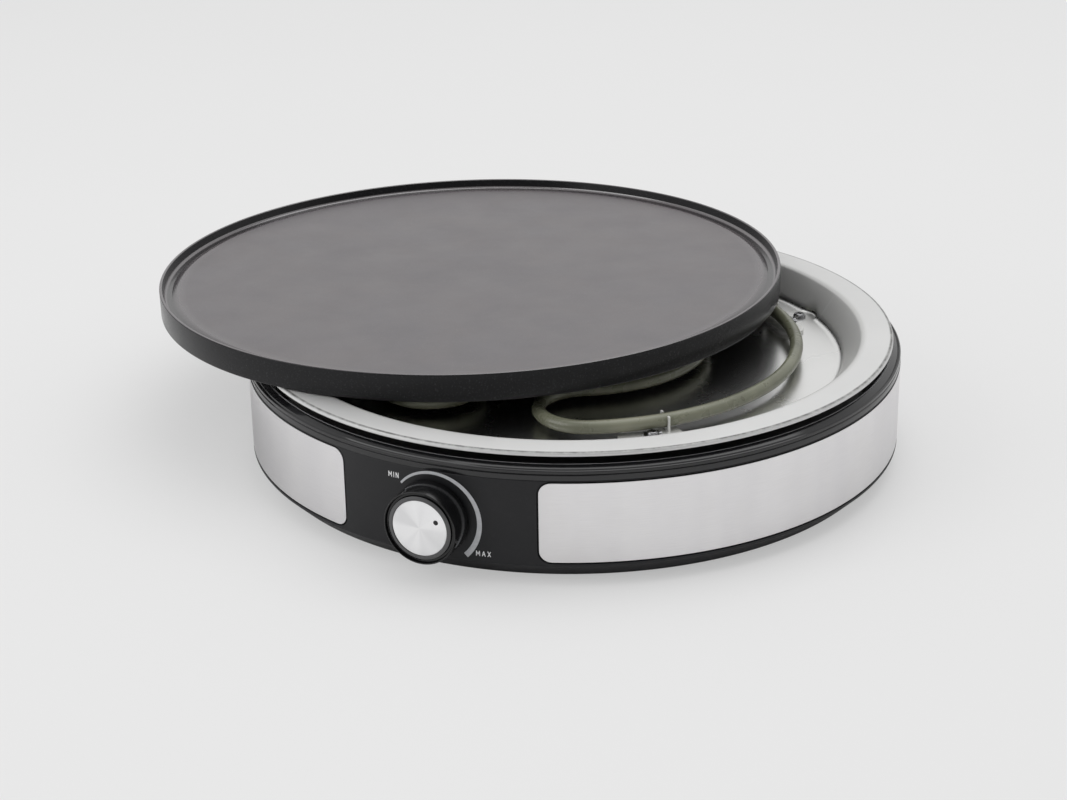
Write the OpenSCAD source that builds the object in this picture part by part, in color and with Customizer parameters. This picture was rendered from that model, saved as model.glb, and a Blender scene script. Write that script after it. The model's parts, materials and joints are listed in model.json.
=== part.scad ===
// Electric crepe maker: a round base with a heating tube in a bright bowl,
// and a cast baking plate that lies askew on the bowl's flange.
// +Z is up, -Y is the front with the knob. The origin is the centre of the
// base, on the surface that its feet stand on. Sizes are in millimetres.

/* [Base] */
// Outer radius of the side wall and of the steel bands
base_r = 162; // [158:1:172]
// Height of the housing's lower edge above the table
ground_gap = 1.5; // [1.5:0.5:5]
// Height of the housing wall, from its lower edge to the top ring
wall_h = 49.5; // [47.5:0.5:57]
// Thickness of the housing wall
wall_t = 2.4; // [2:0.1:3]
// Radius of the rounded lower edge of the housing
edge_r = 3; // [2:0.5:4]
// Height of the cone that draws the wall in towards its lower edge
sole_h = 8.2; // [7:0.1:8.4]
// Lean of that cone from the upright, in degrees
sole_lean = 46; // [35:1:48]
// Thickness of the housing floor
floor_t = 2.5; // [2:0.1:3]
// How far the service opening's edge lies inside the side wall
service_inset = 50; // [49:1:62]

/* [Top ring] */
// Height of the black ring above the housing wall
ring_h = 6.2; // [5.8:0.1:7]
// Radial width of the ring's outer slope
ring_slope_w = 4.6; // [4:0.1:5]
// Thickness of the ring's inner ledge
ledge_t = 1.5; // [1.2:0.1:2]
// Air gap between the ring's inner edge and the bowl
ledge_gap = 1.5; // [1:0.1:3]

/* [Steel bands] */
// Height of the steel bands
band_h = 38.3; // [30:0.1:39]
// Wall left between the bands and the top ring
band_drop = 1.1; // [1:0.1:2]
// Width of the black control panel between the bands
panel_w = 96; // [80:1:110]
// Radius of the bands' corners
band_corner_r = 5.5; // [3:0.5:8]
// Thickness of the steel band
band_t = 0.5; // [0.4:0.05:0.8]

/* [Bowl] */
// Air gap between the top ring and the flange's lip
bowl_air = 3.8; // [3:0.1:6]
// Height of the flange's turned-down lip
lip_h = 1.7; // [1.4:0.1:3]
// Width of the flat flange
flange_w = 12.3; // [11:0.1:13.5]
// How far the flange's rim lies inside the side wall
flange_inset = 4; // [3:0.5:6]
// Depth of the bowl below its flange
bowl_depth = 14.7; // [13:0.1:18]
// Slope of the bowl's wall above the horizontal, in degrees
bowl_slope = 55; // [50:1:65]
// Sheet thickness of the bowl
sheet_t = 0.8; // [0.6:0.1:1]

/* [Heating element] */
// Diameter of the sheathed tube
tube_d = 6.5; // [6:0.1:7]
// How far the outer loop's centreline lies inside the edge of the bowl's floor
coil_inset = 19.56; // [18.5:0.01:25]
// Distance between the centrelines of the outer and the inner loop
loop_gap = 45.5; // [40:0.5:52]
// Angle from the front to the start of each lobe, in degrees
lobe_start = 27; // [20:1:32]
// Height of the tube's centreline above the bowl's floor
tube_lift = 6.5; // [6.3:0.1:7.5]

/* [Baking plate] */
// Full height of the plate, from its skirt to its lip
plate_h = 13.6; // [13:0.1:16]
// How far the skirt reaches below the plate's underside
skirt_h = 2.5; // [2:0.1:3.5]
// Thickness of the skirt
skirt_t = 2; // [1.6:0.1:3]
// Clearance of the skirt round the bowl's flange
skirt_gap = 0.8; // [0.5:0.1:1.5]
// Height of the lip above the baking surface
lip_rise = 4; // [3:0.1:5]
// Thickness of the lip at its top
lip_t = 1.5; // [1.2:0.1:2]
// Depth of the gutter below the baking surface
gutter_d = 1; // [0.5:0.1:1.5]
// Sideways offset of the laid-down plate from the base's centre
plate_shift = 77.8; // [70:0.1:84]
// Direction of that offset, counted anticlockwise from +X, in degrees
plate_heading = 156; // [120:1:200]

/* [Knob] */
// Height of the knob's axis above the housing's lower edge
knob_up = 27.3; // [25.5:0.1:28.5]
// Radius of the knob's barrel
knob_r = 17.9; // [16:0.1:19]
// How far the knob stands proud of the wall
knob_out = 13.5; // [12:0.5:16]
// Radius of the metal disc in the knob's face
disc_r = 13.2; // [11:0.1:13.6]
// Radius of the pointer dot
dot_r = 1.15; // [0.9:0.05:1.5]
// Angle of the pointer, clockwise from the top, in degrees
dot_turn = 63; // [0:1:120]
// Radius of the thermostat's spindle
spindle_r = 3; // [2.5:0.1:3.2]

/* [Inside] */
// How far the feet's centres lie inside the side wall
feet_inset = 22; // [20:0.5:24]
// Radius of a foot
foot_r = 7; // [6:0.5:8]
// Height of the cord entry above the housing's lower edge
gland_up = 16.5; // [16.5:0.5:19]
// Radius of the cord that the gland is made for
cord_r = 3.6; // [3:0.1:4]
// Radius of the internal wires
wire_r = 1.2; // [0.9:0.1:1.4]

/* [Hidden] */
$fn = 96;

// Colours
black = [0.13, 0.13, 0.14];
gloss_black = [0.10, 0.10, 0.11];
steel = [0.80, 0.80, 0.79];
bright = [0.86, 0.86, 0.85];
olive = [0.42, 0.43, 0.33];
dark_steel = [0.30, 0.30, 0.31];
ceramic = [0.90, 0.88, 0.82];
brass = [0.72, 0.58, 0.30];
copper = [0.72, 0.42, 0.27];
coating = [0.27, 0.27, 0.28];

// General clearances
fit_gap = 0.1;        // a piece in its seat
slip_gap = 0.15;      // a screw in its hole
turn_gap = 0.05;      // a shaft in its bearing
rest_gap = 0.2;       // a loose piece on what carries it

// Levels, from the table up
edge_z = ground_gap;
sole_step = 3;        // how far the floor lies above the wall's lower edge
floor_z = edge_z + sole_step;
floor_top = floor_z + floor_t;
wall_top = edge_z + wall_h;
ring_top = wall_top + ring_h;
lip_z = ring_top + bowl_air;
flange_z = lip_z + lip_h;
bowl_z = flange_z - bowl_depth;
bowl_under = bowl_z - sheet_t;
tube_z = bowl_z + tube_lift;
knob_z = edge_z + knob_up;
gland_z = edge_z + gland_up;
band_top = wall_top - band_drop;
band_low = band_top - band_h;

// Housing and ring
wall_in = base_r - wall_t;
service_r = base_r - service_inset;
feet_circle_r = base_r - feet_inset;
tongue_h = 6;
tongue_t = 1.4;
band_edge_gap = 0.4;
band_seat_gap = 0.1;
recess_r = base_r - band_t - band_seat_gap;
edge_foot_w = 3.5;
edge_draft = 0.5;
sole_top = edge_z + sole_h;
edge_mid_r = base_r - edge_r * cos(sole_lean)
  - (sole_h - edge_r * (1 - sin(sole_lean))) * tan(sole_lean);
sole_in_z = sole_top + wall_t * tan(sole_lean / 2);
sole_in_r = wall_in - (sole_in_z - floor_top) * tan(sole_lean);
top_chamfer = 0.4;

// Bowl profile
flange_r = base_r - flange_inset;
bend_r = 1.2;
foot_fillet_r = 4;
shoulder_r = 3;
flange_in_r = flange_r - bend_r - flange_w;
wall_rise = bowl_depth - (foot_fillet_r + shoulder_r) * (1 - cos(bowl_slope));
wall_run = wall_rise / tan(bowl_slope);
bowl_floor_r = flange_in_r - wall_run - (foot_fillet_r + shoulder_r) * sin(bowl_slope);
post_inset = 3.5;
post_r = bowl_floor_r - post_inset;
pocket_out = 3;
pocket_circle_r = post_r + pocket_out;
pocket_r = 8;
pocket_h = 8;
ledge_r = pocket_circle_r + pocket_r + sheet_t + ledge_gap;
corners = [45, 135, 225, 315];

// Screws
screw_r = 1.6;
screw_head_r = 3.2;
screw_head_h = 2;
small_head_r = 2.8;
small_head_h = 1.8;
cover_head_h = 1.6;
recess_w = 0.7;
screw_bite = 8;       // how deep a long screw goes into its boss
over = 1;             // how far a cut runs past a face

// Posts under the bowl
spacer_h = 6;
spacer_r = 4;
boss_r = 5;
boss_top = bowl_under - spacer_h;
root_z = floor_top - 0.5;  // bosses start inside the floor

// Bottom cover
cover_t = 1.2;
cover_overlap = 9;
cover_r = service_r + cover_overlap;
cover_z = floor_z - cover_t;
cover_screw_circle_r = service_r + cover_overlap / 2;
cover_screw_count = 6;
foot_stem_r = 2.5;
foot_button_r = 3.3;
foot_button_h = 1.6;
foot_chamfer = 0.8;
vent_rows = [40, 58, 76];
vent_step = 30;
vent_w = 4;
vent_l = 12;

// Element
tube_r = tube_d / 2;
coil_r = bowl_floor_r - coil_inset;
coil_inner_r = coil_r - loop_gap;
lobe_mid_r = (coil_r + coil_inner_r) / 2;
lobe_r = loop_gap / 2;
leg_angle = 160;
leg_bend_r = tube_lift;
joint_swell = 0.05;
leg_drop = 7;
leg_low = bowl_under - leg_drop;
leg_circle_r = norm([coil_inner_r, leg_bend_r]);
leg_turn = leg_angle + atan2(leg_bend_r, coil_inner_r);
bush_r = 6;
bush_flange_r = 8;
bush_flange_t = 1.5;
bush_h = 4.5;
tag_w = 6.3;
tag_t = 0.8;
tag_h = 9;
leg_end = polar(leg_circle_r, leg_turn, leg_low - tag_h);  // the right-hand tag's end

// Element clips
clip_t = 1;
clip_foot_w = 13.5;
clip_foot_l = 24;
clip_foot_h = 2;      // the foot is a pressed tray, open underneath
clip_foot_back = 6;
clip_inside = 5;
clip_tab_w = 9.5;
clip_screw_out = 4.8;
clip_foot_in = coil_r - clip_inside;
clip_tab_out = clip_foot_in + clip_tab_w;
clip_screw_r = coil_r + clip_screw_out;
clip_screw_v = 8.6;
clip_screw_bite = 3;
clip_tab_h = tube_lift + tube_r * 0.95;
clip_mouth_w = tube_d * 0.9;
washer_r = 4.8;
washer_t = 0.6;
washer_teeth = 12;
washer_notch_r = 0.75;

// Plate
plate_r = flange_r + skirt_gap + skirt_t;
plate_edge_r = 0.8;
lip_draft = 1;
gutter_round = 1.5;
gutter_w = 2;
gutter_slope_w = 5.5;
skirt_in_r = plate_r - skirt_t;
skirt_face_w = 0.3;
flat_r = flange_r - bend_r;
skirt_touch_r = skirt_in_r + skirt_face_w;
touch_near = plate_shift
  - (flat_r * flat_r - skirt_touch_r * skirt_touch_r + plate_shift * plate_shift) / (2 * plate_shift);
touch_far = flat_r - plate_shift;
plate_tilt = asin(skirt_h / (touch_near + touch_far));
plate_z = flange_z + rest_gap - touch_near * tan(plate_tilt);

// Knob and thermostat
knob_front = -(base_r + knob_out);
knob_gap = 0.6;
knob_back = -(base_r + knob_gap);
knob_face_t = 3;
knob_shell_t = 2;
bezel_h = 1.6;
bezel_w = 2.4;
barrel_round = 1.4;
hub_t = 2.4;
step_y = knob_front + bezel_h;     // back of the bezel
barrel_y = step_y + barrel_round;  // where the barrel reaches its full radius
knob_roof_y = step_y + 0.4 + knob_face_t;
hub_r = spindle_r + hub_t;
bezel_r = disc_r + bezel_w;
disc_t = 1;
disc_sink = 0.3;
disc_floor_y = knob_front + disc_sink + disc_t;
dot_circle_r = 9;
dot_depth = 0.8;
spring_t = 0.6;
spring_w = 4;
spring_slot = 3;
spindle_front = knob_front + knob_face_t + 1.5;
flat_depth = 0.7;
bracket_inset = 9.6;
bracket_y = -(wall_in - bracket_inset);
bracket_t = 1.2;
bracket_w = 32;
bracket_rise = 15;
bracket_top = knob_z + bracket_rise;
bracket_foot_l = 16;
bracket_screw_x = bracket_w / 3;
bracket_screw_y = bracket_y + bracket_foot_l * 0.6;
block_w = 28;
block_d = 13;
block_h = 22;
sleeve_r = spindle_r + 1.5;
sleeve_hole_gap = 1;
sleeve_out = 6;
nut_r = 6.9;
nut_h = 3;
block_back = bracket_y + bracket_t + block_d;
shelf_h = 4;
arm_gap = 1;
arm_t = 0.6;
arm_w = 5;
arm_play = 0.3;
arm_low = knob_z - block_h / 2 + shelf_h - 1.5;
arm_h = 20;
spindle_back = block_back + 0.4;
strip_w = 8;
strip_t = 0.8;
strip_inset = 2;
strip_reach = 18;

// Power side
block_inset = 7;
block_y = service_r + block_inset;
pole_pitch = 12;
pole_up = 6;
pole_z = floor_top + pole_up;
pole_screw_r = 2.5;
pole_screw_depth = 3;
poles_w = 36;
poles_d = 14;
poles_h = 12;
clamp_reach = 12;
clamp_y = block_y + poles_d + clamp_reach;
clamp_gap = 9.5;
clamp_boss_r = 3.6;
clamp_bar_w = 7;
clamp_bar_t = 3;
clamp_screw_r = 1.3;
clamp_screw_bite = 5;
clamp_head_r = 2.5;
clamp_head_h = 1.6;
saddle_t = 3;
gland_t = 2.5;
gland_lip_w = 2.9;
gland_neck_l = 6;
gland_wall_r = cord_r + gland_t;
gland_flange_r = gland_wall_r + gland_lip_w;
gland_in = wall_in - gland_neck_l;
gland_out = base_r + slip_gap;
gland_flange_t = 2.5;
fuse_r = 2.5;
fuse_l = 14;
fuse_pin_l = 2;
fuse_clip_w = 6;
fuse_clip_t = 0.9;
fuse_side = 27.7;     // from the left-hand tag, away from the middle
fuse_front = 17.8;    // from the tag, towards the front
fuse_drop = 4.5;
fuse_x = -leg_end[0] - fuse_side;
fuse_y = leg_end[1] - fuse_front;
fuse_z = bowl_under - fuse_drop;
stud_side = 13.7;     // from the right-hand tag, away from the middle
stud_back = 28.2;     // from the tag, towards the back
stud_x = leg_end[0] + stud_side;
stud_y = leg_end[1] + stud_back;
stud_r = 2;
stud_l = 7;
stud_head_r = 3.4;
stud_nut_h = 3;
stud_washer_r = 4.6;
stud_washer_z = bowl_under - stud_nut_h - 0.5;

// Wires
wire_inset = 12;
wire_up = 7;
wire_lead = 8;        // straight lead out of a terminal
wire_sweep = 15;      // room for a wide turn
wire_ring_r = wall_in - wire_inset;   // where they run round inside the wall
wire_z = floor_top + wire_up;
wire_out_z = knob_z - wire_up;
wire_run_x = leg_end[0] + 2.25 * wire_sweep;
wire_run_z = floor_top + wire_sweep - 2;
block_mid_y = bracket_y + bracket_t + block_d / 2;

// Points of a round stretch: centre c, radius r, from angle a to angle b
function arc(c, r, a, b, n = 8) =
  [for (i = [0:n]) c + r * [cos(a + (b - a) * i / n), sin(a + (b - a) * i / n)]];

// A point at a radius, an angle from the front towards +X, and a height
function polar(r, a, z) = [r * sin(a), -r * cos(a), z];

// Reversed list
function flip(p) = [for (i = [len(p) - 1:-1:0]) p[i]];

// Floor and wall of the bowl's sheet up to the flange, offset downwards by d
function bowl_wall(d) = concat(
  [[0, bowl_z - d]],
  arc([bowl_floor_r, bowl_z + foot_fillet_r], foot_fillet_r + d, -90, -90 + bowl_slope),
  arc([flange_in_r, flange_z - shoulder_r], shoulder_r - d, 90 + bowl_slope, 90));

// The bowl's flange and turned-down lip, offset inwards by d
function bowl_rim(d) = concat(
  arc([flange_r - bend_r, flange_z - bend_r], bend_r - d, 90, 0, 4),
  [[flange_r - d, lip_z]]);

// A ring made from a profile in its radius and height
module turned(points) {
  rotate_extrude($fn = 180) polygon(points);
}

// Copies at the four corners of the base
module at_corners(r) {
  for (a = corners) rotate([0, 0, a - 90]) translate([r, 0, 0]) children();
}

// Copies at the screws of the bottom cover
module at_cover_screws() {
  for (i = [0:cover_screw_count - 1]) rotate([0, 0, i * 360 / cover_screw_count])
    translate([cover_screw_circle_r, 0, 0]) children();
}

// A cylinder along Y from y0 to y1
module rod_y(r, y0, y1, fn = 64) {
  translate([0, y0, 0]) rotate([-90, 0, 0]) cylinder(r = r, h = y1 - y0, $fn = fn);
}

// A bar centred on X and Y, from z0 to z1
module block(x, y, z0, z1) {
  translate([-x / 2, -y / 2, z0]) cube([x, y, z1 - z0]);
}

// A pan-head screw on z = 0, its shank pointing down, with a cross recess
module screw(r, head_r, head_h, l) {
  difference() {
    union() {
      translate([0, 0, -l]) cylinder(r = r, h = l, $fn = 32);
      rotate_extrude($fn = 48)
        polygon(concat([[0, 0], [head_r, 0], [head_r, head_h * 0.4]],
          arc([head_r * 0.55, head_h * 0.4], head_h * 0.6, 0, 90, 5), [[0, head_h]]));
    }
    for (a = [0, 90]) rotate([0, 0, a])
      translate([-head_r * 0.6, -recess_w / 2, head_h * 0.45])
        cube([head_r * 1.2, recess_w, head_h]);
  }
}

// Everything between the two bands, front to back, with the bands' rounded ends.
// grow makes the bands' outline larger all round.
module panel_cut(grow) {
  end_x = panel_w / 2 - grow;
  r = band_corner_r + grow;
  low = band_low - grow;
  top = band_top + grow;
  translate([0, base_r + 10, 0]) rotate([90, 0, 0])
    linear_extrude(height = 2 * base_r + 20) difference() {
      translate([-end_x - r, low - over]) square([2 * (end_x + r), top - low + 2 * over]);
      for (s = [-1, 1]) {
        for (v = [low + r, top - r]) translate([s * (end_x + r), v]) circle(r = r);
        translate([s * (end_x + r) - r, low + r]) square([2 * r, top - low - 2 * r]);
      }
    }
}

// Half of the band zone, on the +X side
module band_half(r_in, r_out, grow) {
  difference() {
    rotate([0, 0, -90]) rotate_extrude(angle = 180, $fn = 180)
      translate([r_in, band_low - grow]) square([r_out - r_in, band_h + 2 * grow]);
    panel_cut(grow);
  }
}

// A wire swept along a smooth line through its points, ending square
function spline_point(a, b, c, d, t) =
  0.5 * (2 * b + (c - a) * t + (2 * a - 5 * b + 4 * c - d) * t * t
    + (3 * b - a - 3 * c + d) * t * t * t);
function spline(p, n) = [
  for (i = [0:len(p) - 2], k = [0:n - 1])
    spline_point(p[max(i - 1, 0)], p[i], p[i + 1], p[min(i + 2, len(p) - 1)], k / n),
  p[len(p) - 1]];
function unit(v) = v / norm(v);

module wire(p) {
  q = spline(p, 4);
  n = len(q);
  sides = 8;
  tangents = [for (i = [0:n - 1])
    i == 0 ? unit(p[1] - p[0]) : i == n - 1 ? unit(p[len(p) - 1] - p[len(p) - 2])
      : unit(q[i + 1] - q[i - 1])];
  rings = [for (i = [0:n - 1]) let (
      side = unit(cross(tangents[i], [0.13, 0.21, 0.97])),
      other = cross(tangents[i], side))
    [for (k = [0:sides - 1])
      q[i] + wire_r * (cos(k * 360 / sides) * side + sin(k * 360 / sides) * other)]];
  polyhedron(
    points = [for (ring = rings) for (point = ring) point],
    faces = concat(
      [[for (k = [0:sides - 1]) k]],
      [for (i = [0:n - 2], k = [0:sides - 1])
        [i * sides + k, (i + 1) * sides + k, (i + 1) * sides + (k + 1) % sides]],
      [for (i = [0:n - 2], k = [0:sides - 1])
        [i * sides + k, (i + 1) * sides + (k + 1) % sides, i * sides + (k + 1) % sides]],
      [[for (k = [sides - 1:-1:0]) (n - 1) * sides + k]]),
    convexity = 8);
}

module housing() {
  color(black) difference() {
    union() {
      turned(concat(
        [[service_r, floor_z], [edge_mid_r - edge_foot_w, floor_z],
          [edge_mid_r - edge_foot_w + edge_draft, edge_z]],
        arc([edge_mid_r, edge_z + edge_r], edge_r, -90, -sole_lean, 5),
        [[base_r, sole_top], [base_r, wall_top - top_chamfer],
          [base_r - top_chamfer, wall_top], [wall_in, wall_top],
          [wall_in, sole_in_z], [sole_in_r, floor_top], [service_r, floor_top]]));
      at_corners(post_r) translate([0, 0, root_z])
        cylinder(r = boss_r, h = boss_top - root_z, $fn = 48);
      for (s = [-1, 1]) translate([s * clamp_gap, clamp_y, root_z])
        cylinder(r = clamp_boss_r, h = gland_z + cord_r - root_z, $fn = 48);
      translate([0, clamp_y, 0]) block(2 * clamp_gap, saddle_t, root_z, gland_z - cord_r);
    }
    band_half(recess_r, base_r + over, band_edge_gap);
    mirror([1, 0, 0]) band_half(recess_r, base_r + over, band_edge_gap);
    translate([0, 0, knob_z]) rod_y(sleeve_r + sleeve_hole_gap, -base_r - over, -wall_in + over);
    translate([0, 0, gland_z]) rod_y(gland_wall_r + fit_gap, wall_in - over, base_r + over);
    at_corners(post_r) translate([0, 0, boss_top - screw_bite - over])
      cylinder(r = screw_r + slip_gap, h = screw_bite + 2 * over, $fn = 32);
    at_corners(feet_circle_r) translate([0, 0, floor_z - over])
      cylinder(r = foot_stem_r + fit_gap, h = floor_t + 2 * over, $fn = 32);
    at_cover_screws() translate([0, 0, floor_z - over])
      cylinder(r = screw_r + slip_gap, h = floor_t + 2 * over, $fn = 32);
    for (s = [-1, 1]) {
      translate([s * bracket_screw_x, bracket_screw_y, floor_z - over])
        cylinder(r = screw_r + slip_gap, h = floor_t + 2 * over, $fn = 32);
      translate([s * clamp_gap, clamp_y, gland_z + cord_r - clamp_screw_bite - over])
        cylinder(r = clamp_screw_r + slip_gap, h = clamp_screw_bite + 2 * over, $fn = 32);
    }
  }
}

module top_ring() {
  out = base_r - fit_gap;
  slope_in = out - ring_slope_w;
  tongue_out = wall_in - fit_gap;
  seam_z = ring_top - 2.9;
  groove_z = ring_top - 1.3;
  color(gloss_black) turned([
    [ledge_r, wall_top], [tongue_out - tongue_t, wall_top],
    [tongue_out - tongue_t, wall_top - tongue_h],
    [tongue_out, wall_top - tongue_h], [tongue_out, wall_top],
    [out, wall_top], [out, seam_z], [out - 0.6, seam_z + 0.3], [out, seam_z + 0.6],
    [out, groove_z - 0.6], [out - 0.2, groove_z - 0.2], [out - 0.8, groove_z],
    [out - 1.2, groove_z - 0.5], [out - 1.7, groove_z + 0.1],
    [slope_in + 0.6, ring_top - 0.1], [slope_in + 0.3, ring_top],
    [slope_in - 0.2, ring_top], [slope_in - 0.5, ring_top - 0.3],
    [slope_in - 0.5, wall_top + ledge_t], [ledge_r, wall_top + ledge_t]]);
}

module steel_band_right() {
  color(steel) band_half(base_r - band_t, base_r, 0);
}

module steel_band_left() {
  color(steel) mirror([1, 0, 0]) band_half(base_r - band_t, base_r, 0);
}

module bottom_cover() {
  color(black) difference() {
    translate([0, 0, cover_z]) cylinder(r = cover_r, h = cover_t, $fn = 180);
    at_cover_screws() translate([0, 0, cover_z - over])
      cylinder(r = screw_r + slip_gap, h = cover_t + 2 * over, $fn = 32);
    for (row = vent_rows, a = [0:vent_step:360 - vent_step]) rotate([0, 0, a])
      translate([row, 0, cover_z - over]) linear_extrude(height = cover_t + 2 * over) {
        square([vent_l - vent_w, vent_w], center = true);
        for (s = [-1, 1]) translate([s * (vent_l - vent_w) / 2, 0]) circle(d = vent_w, $fn = 24);
      }
  }
}

module cover_screws() {
  color(dark_steel) at_cover_screws() translate([0, 0, cover_z]) rotate([180, 0, 0])
    screw(screw_r, screw_head_r, cover_head_h, cover_t + floor_t);
}

module feet() {
  color([0.08, 0.08, 0.08]) at_corners(feet_circle_r) rotate_extrude($fn = 64) polygon([
    [0, 0], [foot_r - foot_chamfer, 0], [foot_r, foot_chamfer], [foot_r, floor_z],
    [foot_stem_r, floor_z], [foot_stem_r, floor_top + fit_gap],
    [foot_button_r, floor_top + fit_gap], [foot_stem_r - 0.5, floor_top + foot_button_h],
    [0, floor_top + foot_button_h]]);
}

// A hole through the floor of the bowl
module sheet_hole(r) {
  translate([0, 0, bowl_under - over]) cylinder(r = r, h = sheet_t + 2 * over, $fn = 48);
}

module bowl_holes() {
  at_corners(post_r) sheet_hole(screw_r + slip_gap);
  at_corners(clip_screw_r) translate([0, -clip_screw_v, 0]) sheet_hole(screw_r + slip_gap);
  for (s = [0, 1]) mirror([s, 0, 0]) at_leg() sheet_hole(bush_r + fit_gap);
  translate([stud_x, stud_y, 0]) sheet_hole(stud_r + fit_gap);
}

module reflector_bowl() {
  color(bright) difference() {
    union() {
      turned(concat(bowl_wall(0), bowl_rim(0), flip(bowl_rim(sheet_t)), flip(bowl_wall(sheet_t))));
      at_corners(pocket_circle_r) translate([0, 0, bowl_under])
        cylinder(r = pocket_r + sheet_t, h = pocket_h + sheet_t, $fn = 64);
    }
    turned(concat(bowl_wall(0), [[flange_in_r, flange_z + over], [0, flange_z + over]]));
    at_corners(pocket_circle_r) translate([0, 0, bowl_z])
      cylinder(r = pocket_r, h = pocket_h, $fn = 64);
    bowl_holes();
  }
}

module bowl_screws() {
  color(dark_steel) at_corners(post_r) translate([0, 0, bowl_z])
    screw(screw_r, screw_head_r, screw_head_h, sheet_t + spacer_h + screw_bite);
}

module bowl_spacers() {
  color(steel) at_corners(post_r) translate([0, 0, boss_top]) difference() {
    cylinder(r = spacer_r, h = spacer_h, $fn = 48);
    translate([0, 0, -over]) cylinder(r = screw_r + slip_gap, h = spacer_h + 2 * over, $fn = 32);
  }
}

// The place of the right-hand leg, where the tube goes down through the bowl
module at_leg() {
  rotate([0, 0, leg_angle - 90]) translate([coil_inner_r, leg_bend_r, 0]) children();
}

// A stretch of the tube bent to radius r, through the angle a from +X
module tube_bend(r, a) {
  rotate_extrude(angle = a, $fn = 180) translate([r, 0]) circle(r = tube_r, $fn = 32);
}

// The faint swelling where two stretches of tube meet
module tube_joint() {
  sphere(r = tube_r + joint_swell, $fn = 48);
}

// The right-hand lobe, from the outer loop to the leg's lower end
module element_lobe() {
  rotate([0, 0, lobe_start - 90]) translate([0, 0, tube_z]) {
    tube_bend(coil_inner_r, leg_angle - lobe_start);
    translate([lobe_mid_r, 0, 0]) rotate([0, 0, 180]) tube_bend(lobe_r, 180);
    for (r = [coil_r, coil_inner_r]) translate([r, 0, 0]) tube_joint();
  }
  rotate([0, 0, leg_angle - 90]) translate([coil_inner_r, 0, tube_z - leg_bend_r]) {
    rotate([90, 0, 90]) tube_bend(leg_bend_r, 90);
    for (p = [[0, 0, leg_bend_r], [0, leg_bend_r, 0]]) translate(p) tube_joint();
  }
  at_leg() translate([0, 0, leg_low])
    cylinder(r = tube_r, h = tube_z - leg_bend_r - leg_low, $fn = 32);
}

module heating_element() {
  color(olive) union() {
    translate([0, 0, tube_z]) rotate([0, 0, lobe_start - 90])
      tube_bend(coil_r, 360 - 2 * lobe_start);
    element_lobe();
    mirror([1, 0, 0]) element_lobe();
  }
}

module element_bushes() {
  color(ceramic) for (s = [0, 1]) mirror([s, 0, 0]) at_leg() difference() {
    union() {
      translate([0, 0, bowl_under - bush_h]) cylinder(r = bush_r, h = bush_h + sheet_t, $fn = 48);
      translate([0, 0, bowl_under - bush_flange_t])
        cylinder(r = bush_flange_r, h = bush_flange_t, $fn = 48);
    }
    translate([0, 0, bowl_under - bush_h - over])
      cylinder(r = tube_r + fit_gap, h = bush_h + sheet_t + 2 * over, $fn = 32);
  }
}

module element_tags() {
  color(steel) for (s = [0, 1]) mirror([s, 0, 0]) at_leg()
    rotate([0, 0, 90 - leg_angle]) block(tag_w, tag_t, leg_low - tag_h, leg_low);
}

// The outline of a clip's foot with its round end, drawn in by an inset
module clip_foot(inset, z0, z1) {
  r = clip_foot_w / 2 - inset;
  translate([clip_foot_in + clip_foot_w / 2, clip_foot_w / 2 - clip_foot_l, z0]) {
    cylinder(r = r, h = z1 - z0, $fn = 48);
    translate([-r, 0, 0])
      cube([2 * r, clip_foot_l - clip_foot_w / 2 + clip_foot_back - inset, z1 - z0]);
  }
}

// One clip: a foot on the bowl's floor, and an upright tab that holds the tube
module clip() {
  foot_top = bowl_z + clip_foot_h;
  difference() {
    union() {
      difference() {
        clip_foot(0, bowl_z, foot_top);
        clip_foot(clip_t, bowl_z - over, foot_top - clip_t);
      }
      translate([clip_foot_in, -clip_t / 2, bowl_z])
        cube([clip_tab_out - clip_foot_in, clip_t, clip_tab_h]);
    }
    translate([clip_screw_r, -clip_screw_v, bowl_z - over])
      cylinder(r = screw_r + slip_gap, h = clip_foot_h + 2 * over, $fn = 32);
    translate([coil_r, 0, tube_z]) {
      rod_y(tube_r + fit_gap, -clip_t, clip_t, 32);
      translate([-clip_mouth_w / 2, -clip_t, 0]) cube([clip_mouth_w, 2 * clip_t, tube_d]);
    }
  }
}

module element_clips() {
  color(steel) for (a = corners) rotate([0, 0, a - 90]) clip();
}

// Copies at the clips' screws, at a height above the bowl's floor
module at_clip_screws(up) {
  at_corners(clip_screw_r) translate([0, -clip_screw_v, bowl_z + up]) children();
}

module clip_washers() {
  color(dark_steel) at_clip_screws(clip_foot_h) difference() {
    cylinder(r = washer_r, h = washer_t, $fn = 48);
    translate([0, 0, -over]) {
      cylinder(r = screw_r + slip_gap, h = washer_t + 2 * over, $fn = 32);
      for (i = [1:washer_teeth]) rotate([0, 0, i * 360 / washer_teeth])
        translate([washer_r, 0, 0]) cylinder(r = washer_notch_r, h = washer_t + 2 * over, $fn = 16);
    }
  }
}

module clip_screws() {
  color(dark_steel) at_clip_screws(clip_foot_h + washer_t)
    screw(screw_r, small_head_r, small_head_h,
      washer_t + clip_foot_h + sheet_t + clip_screw_bite);
}

// The cut that gives a round shaft its flat, r being the shaft's radius
module shaft_section(r, y0, y1) {
  difference() {
    rod_y(r, y0, y1, 48);
    translate([-r - over, y0 - over, r - flat_depth])
      cube([2 * (r + over), y1 - y0 + 2 * over, r]);
  }
}

module at_knob() {
  translate([0, 0, knob_z]) rotate([0, dot_turn, 0]) children();
}

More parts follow.
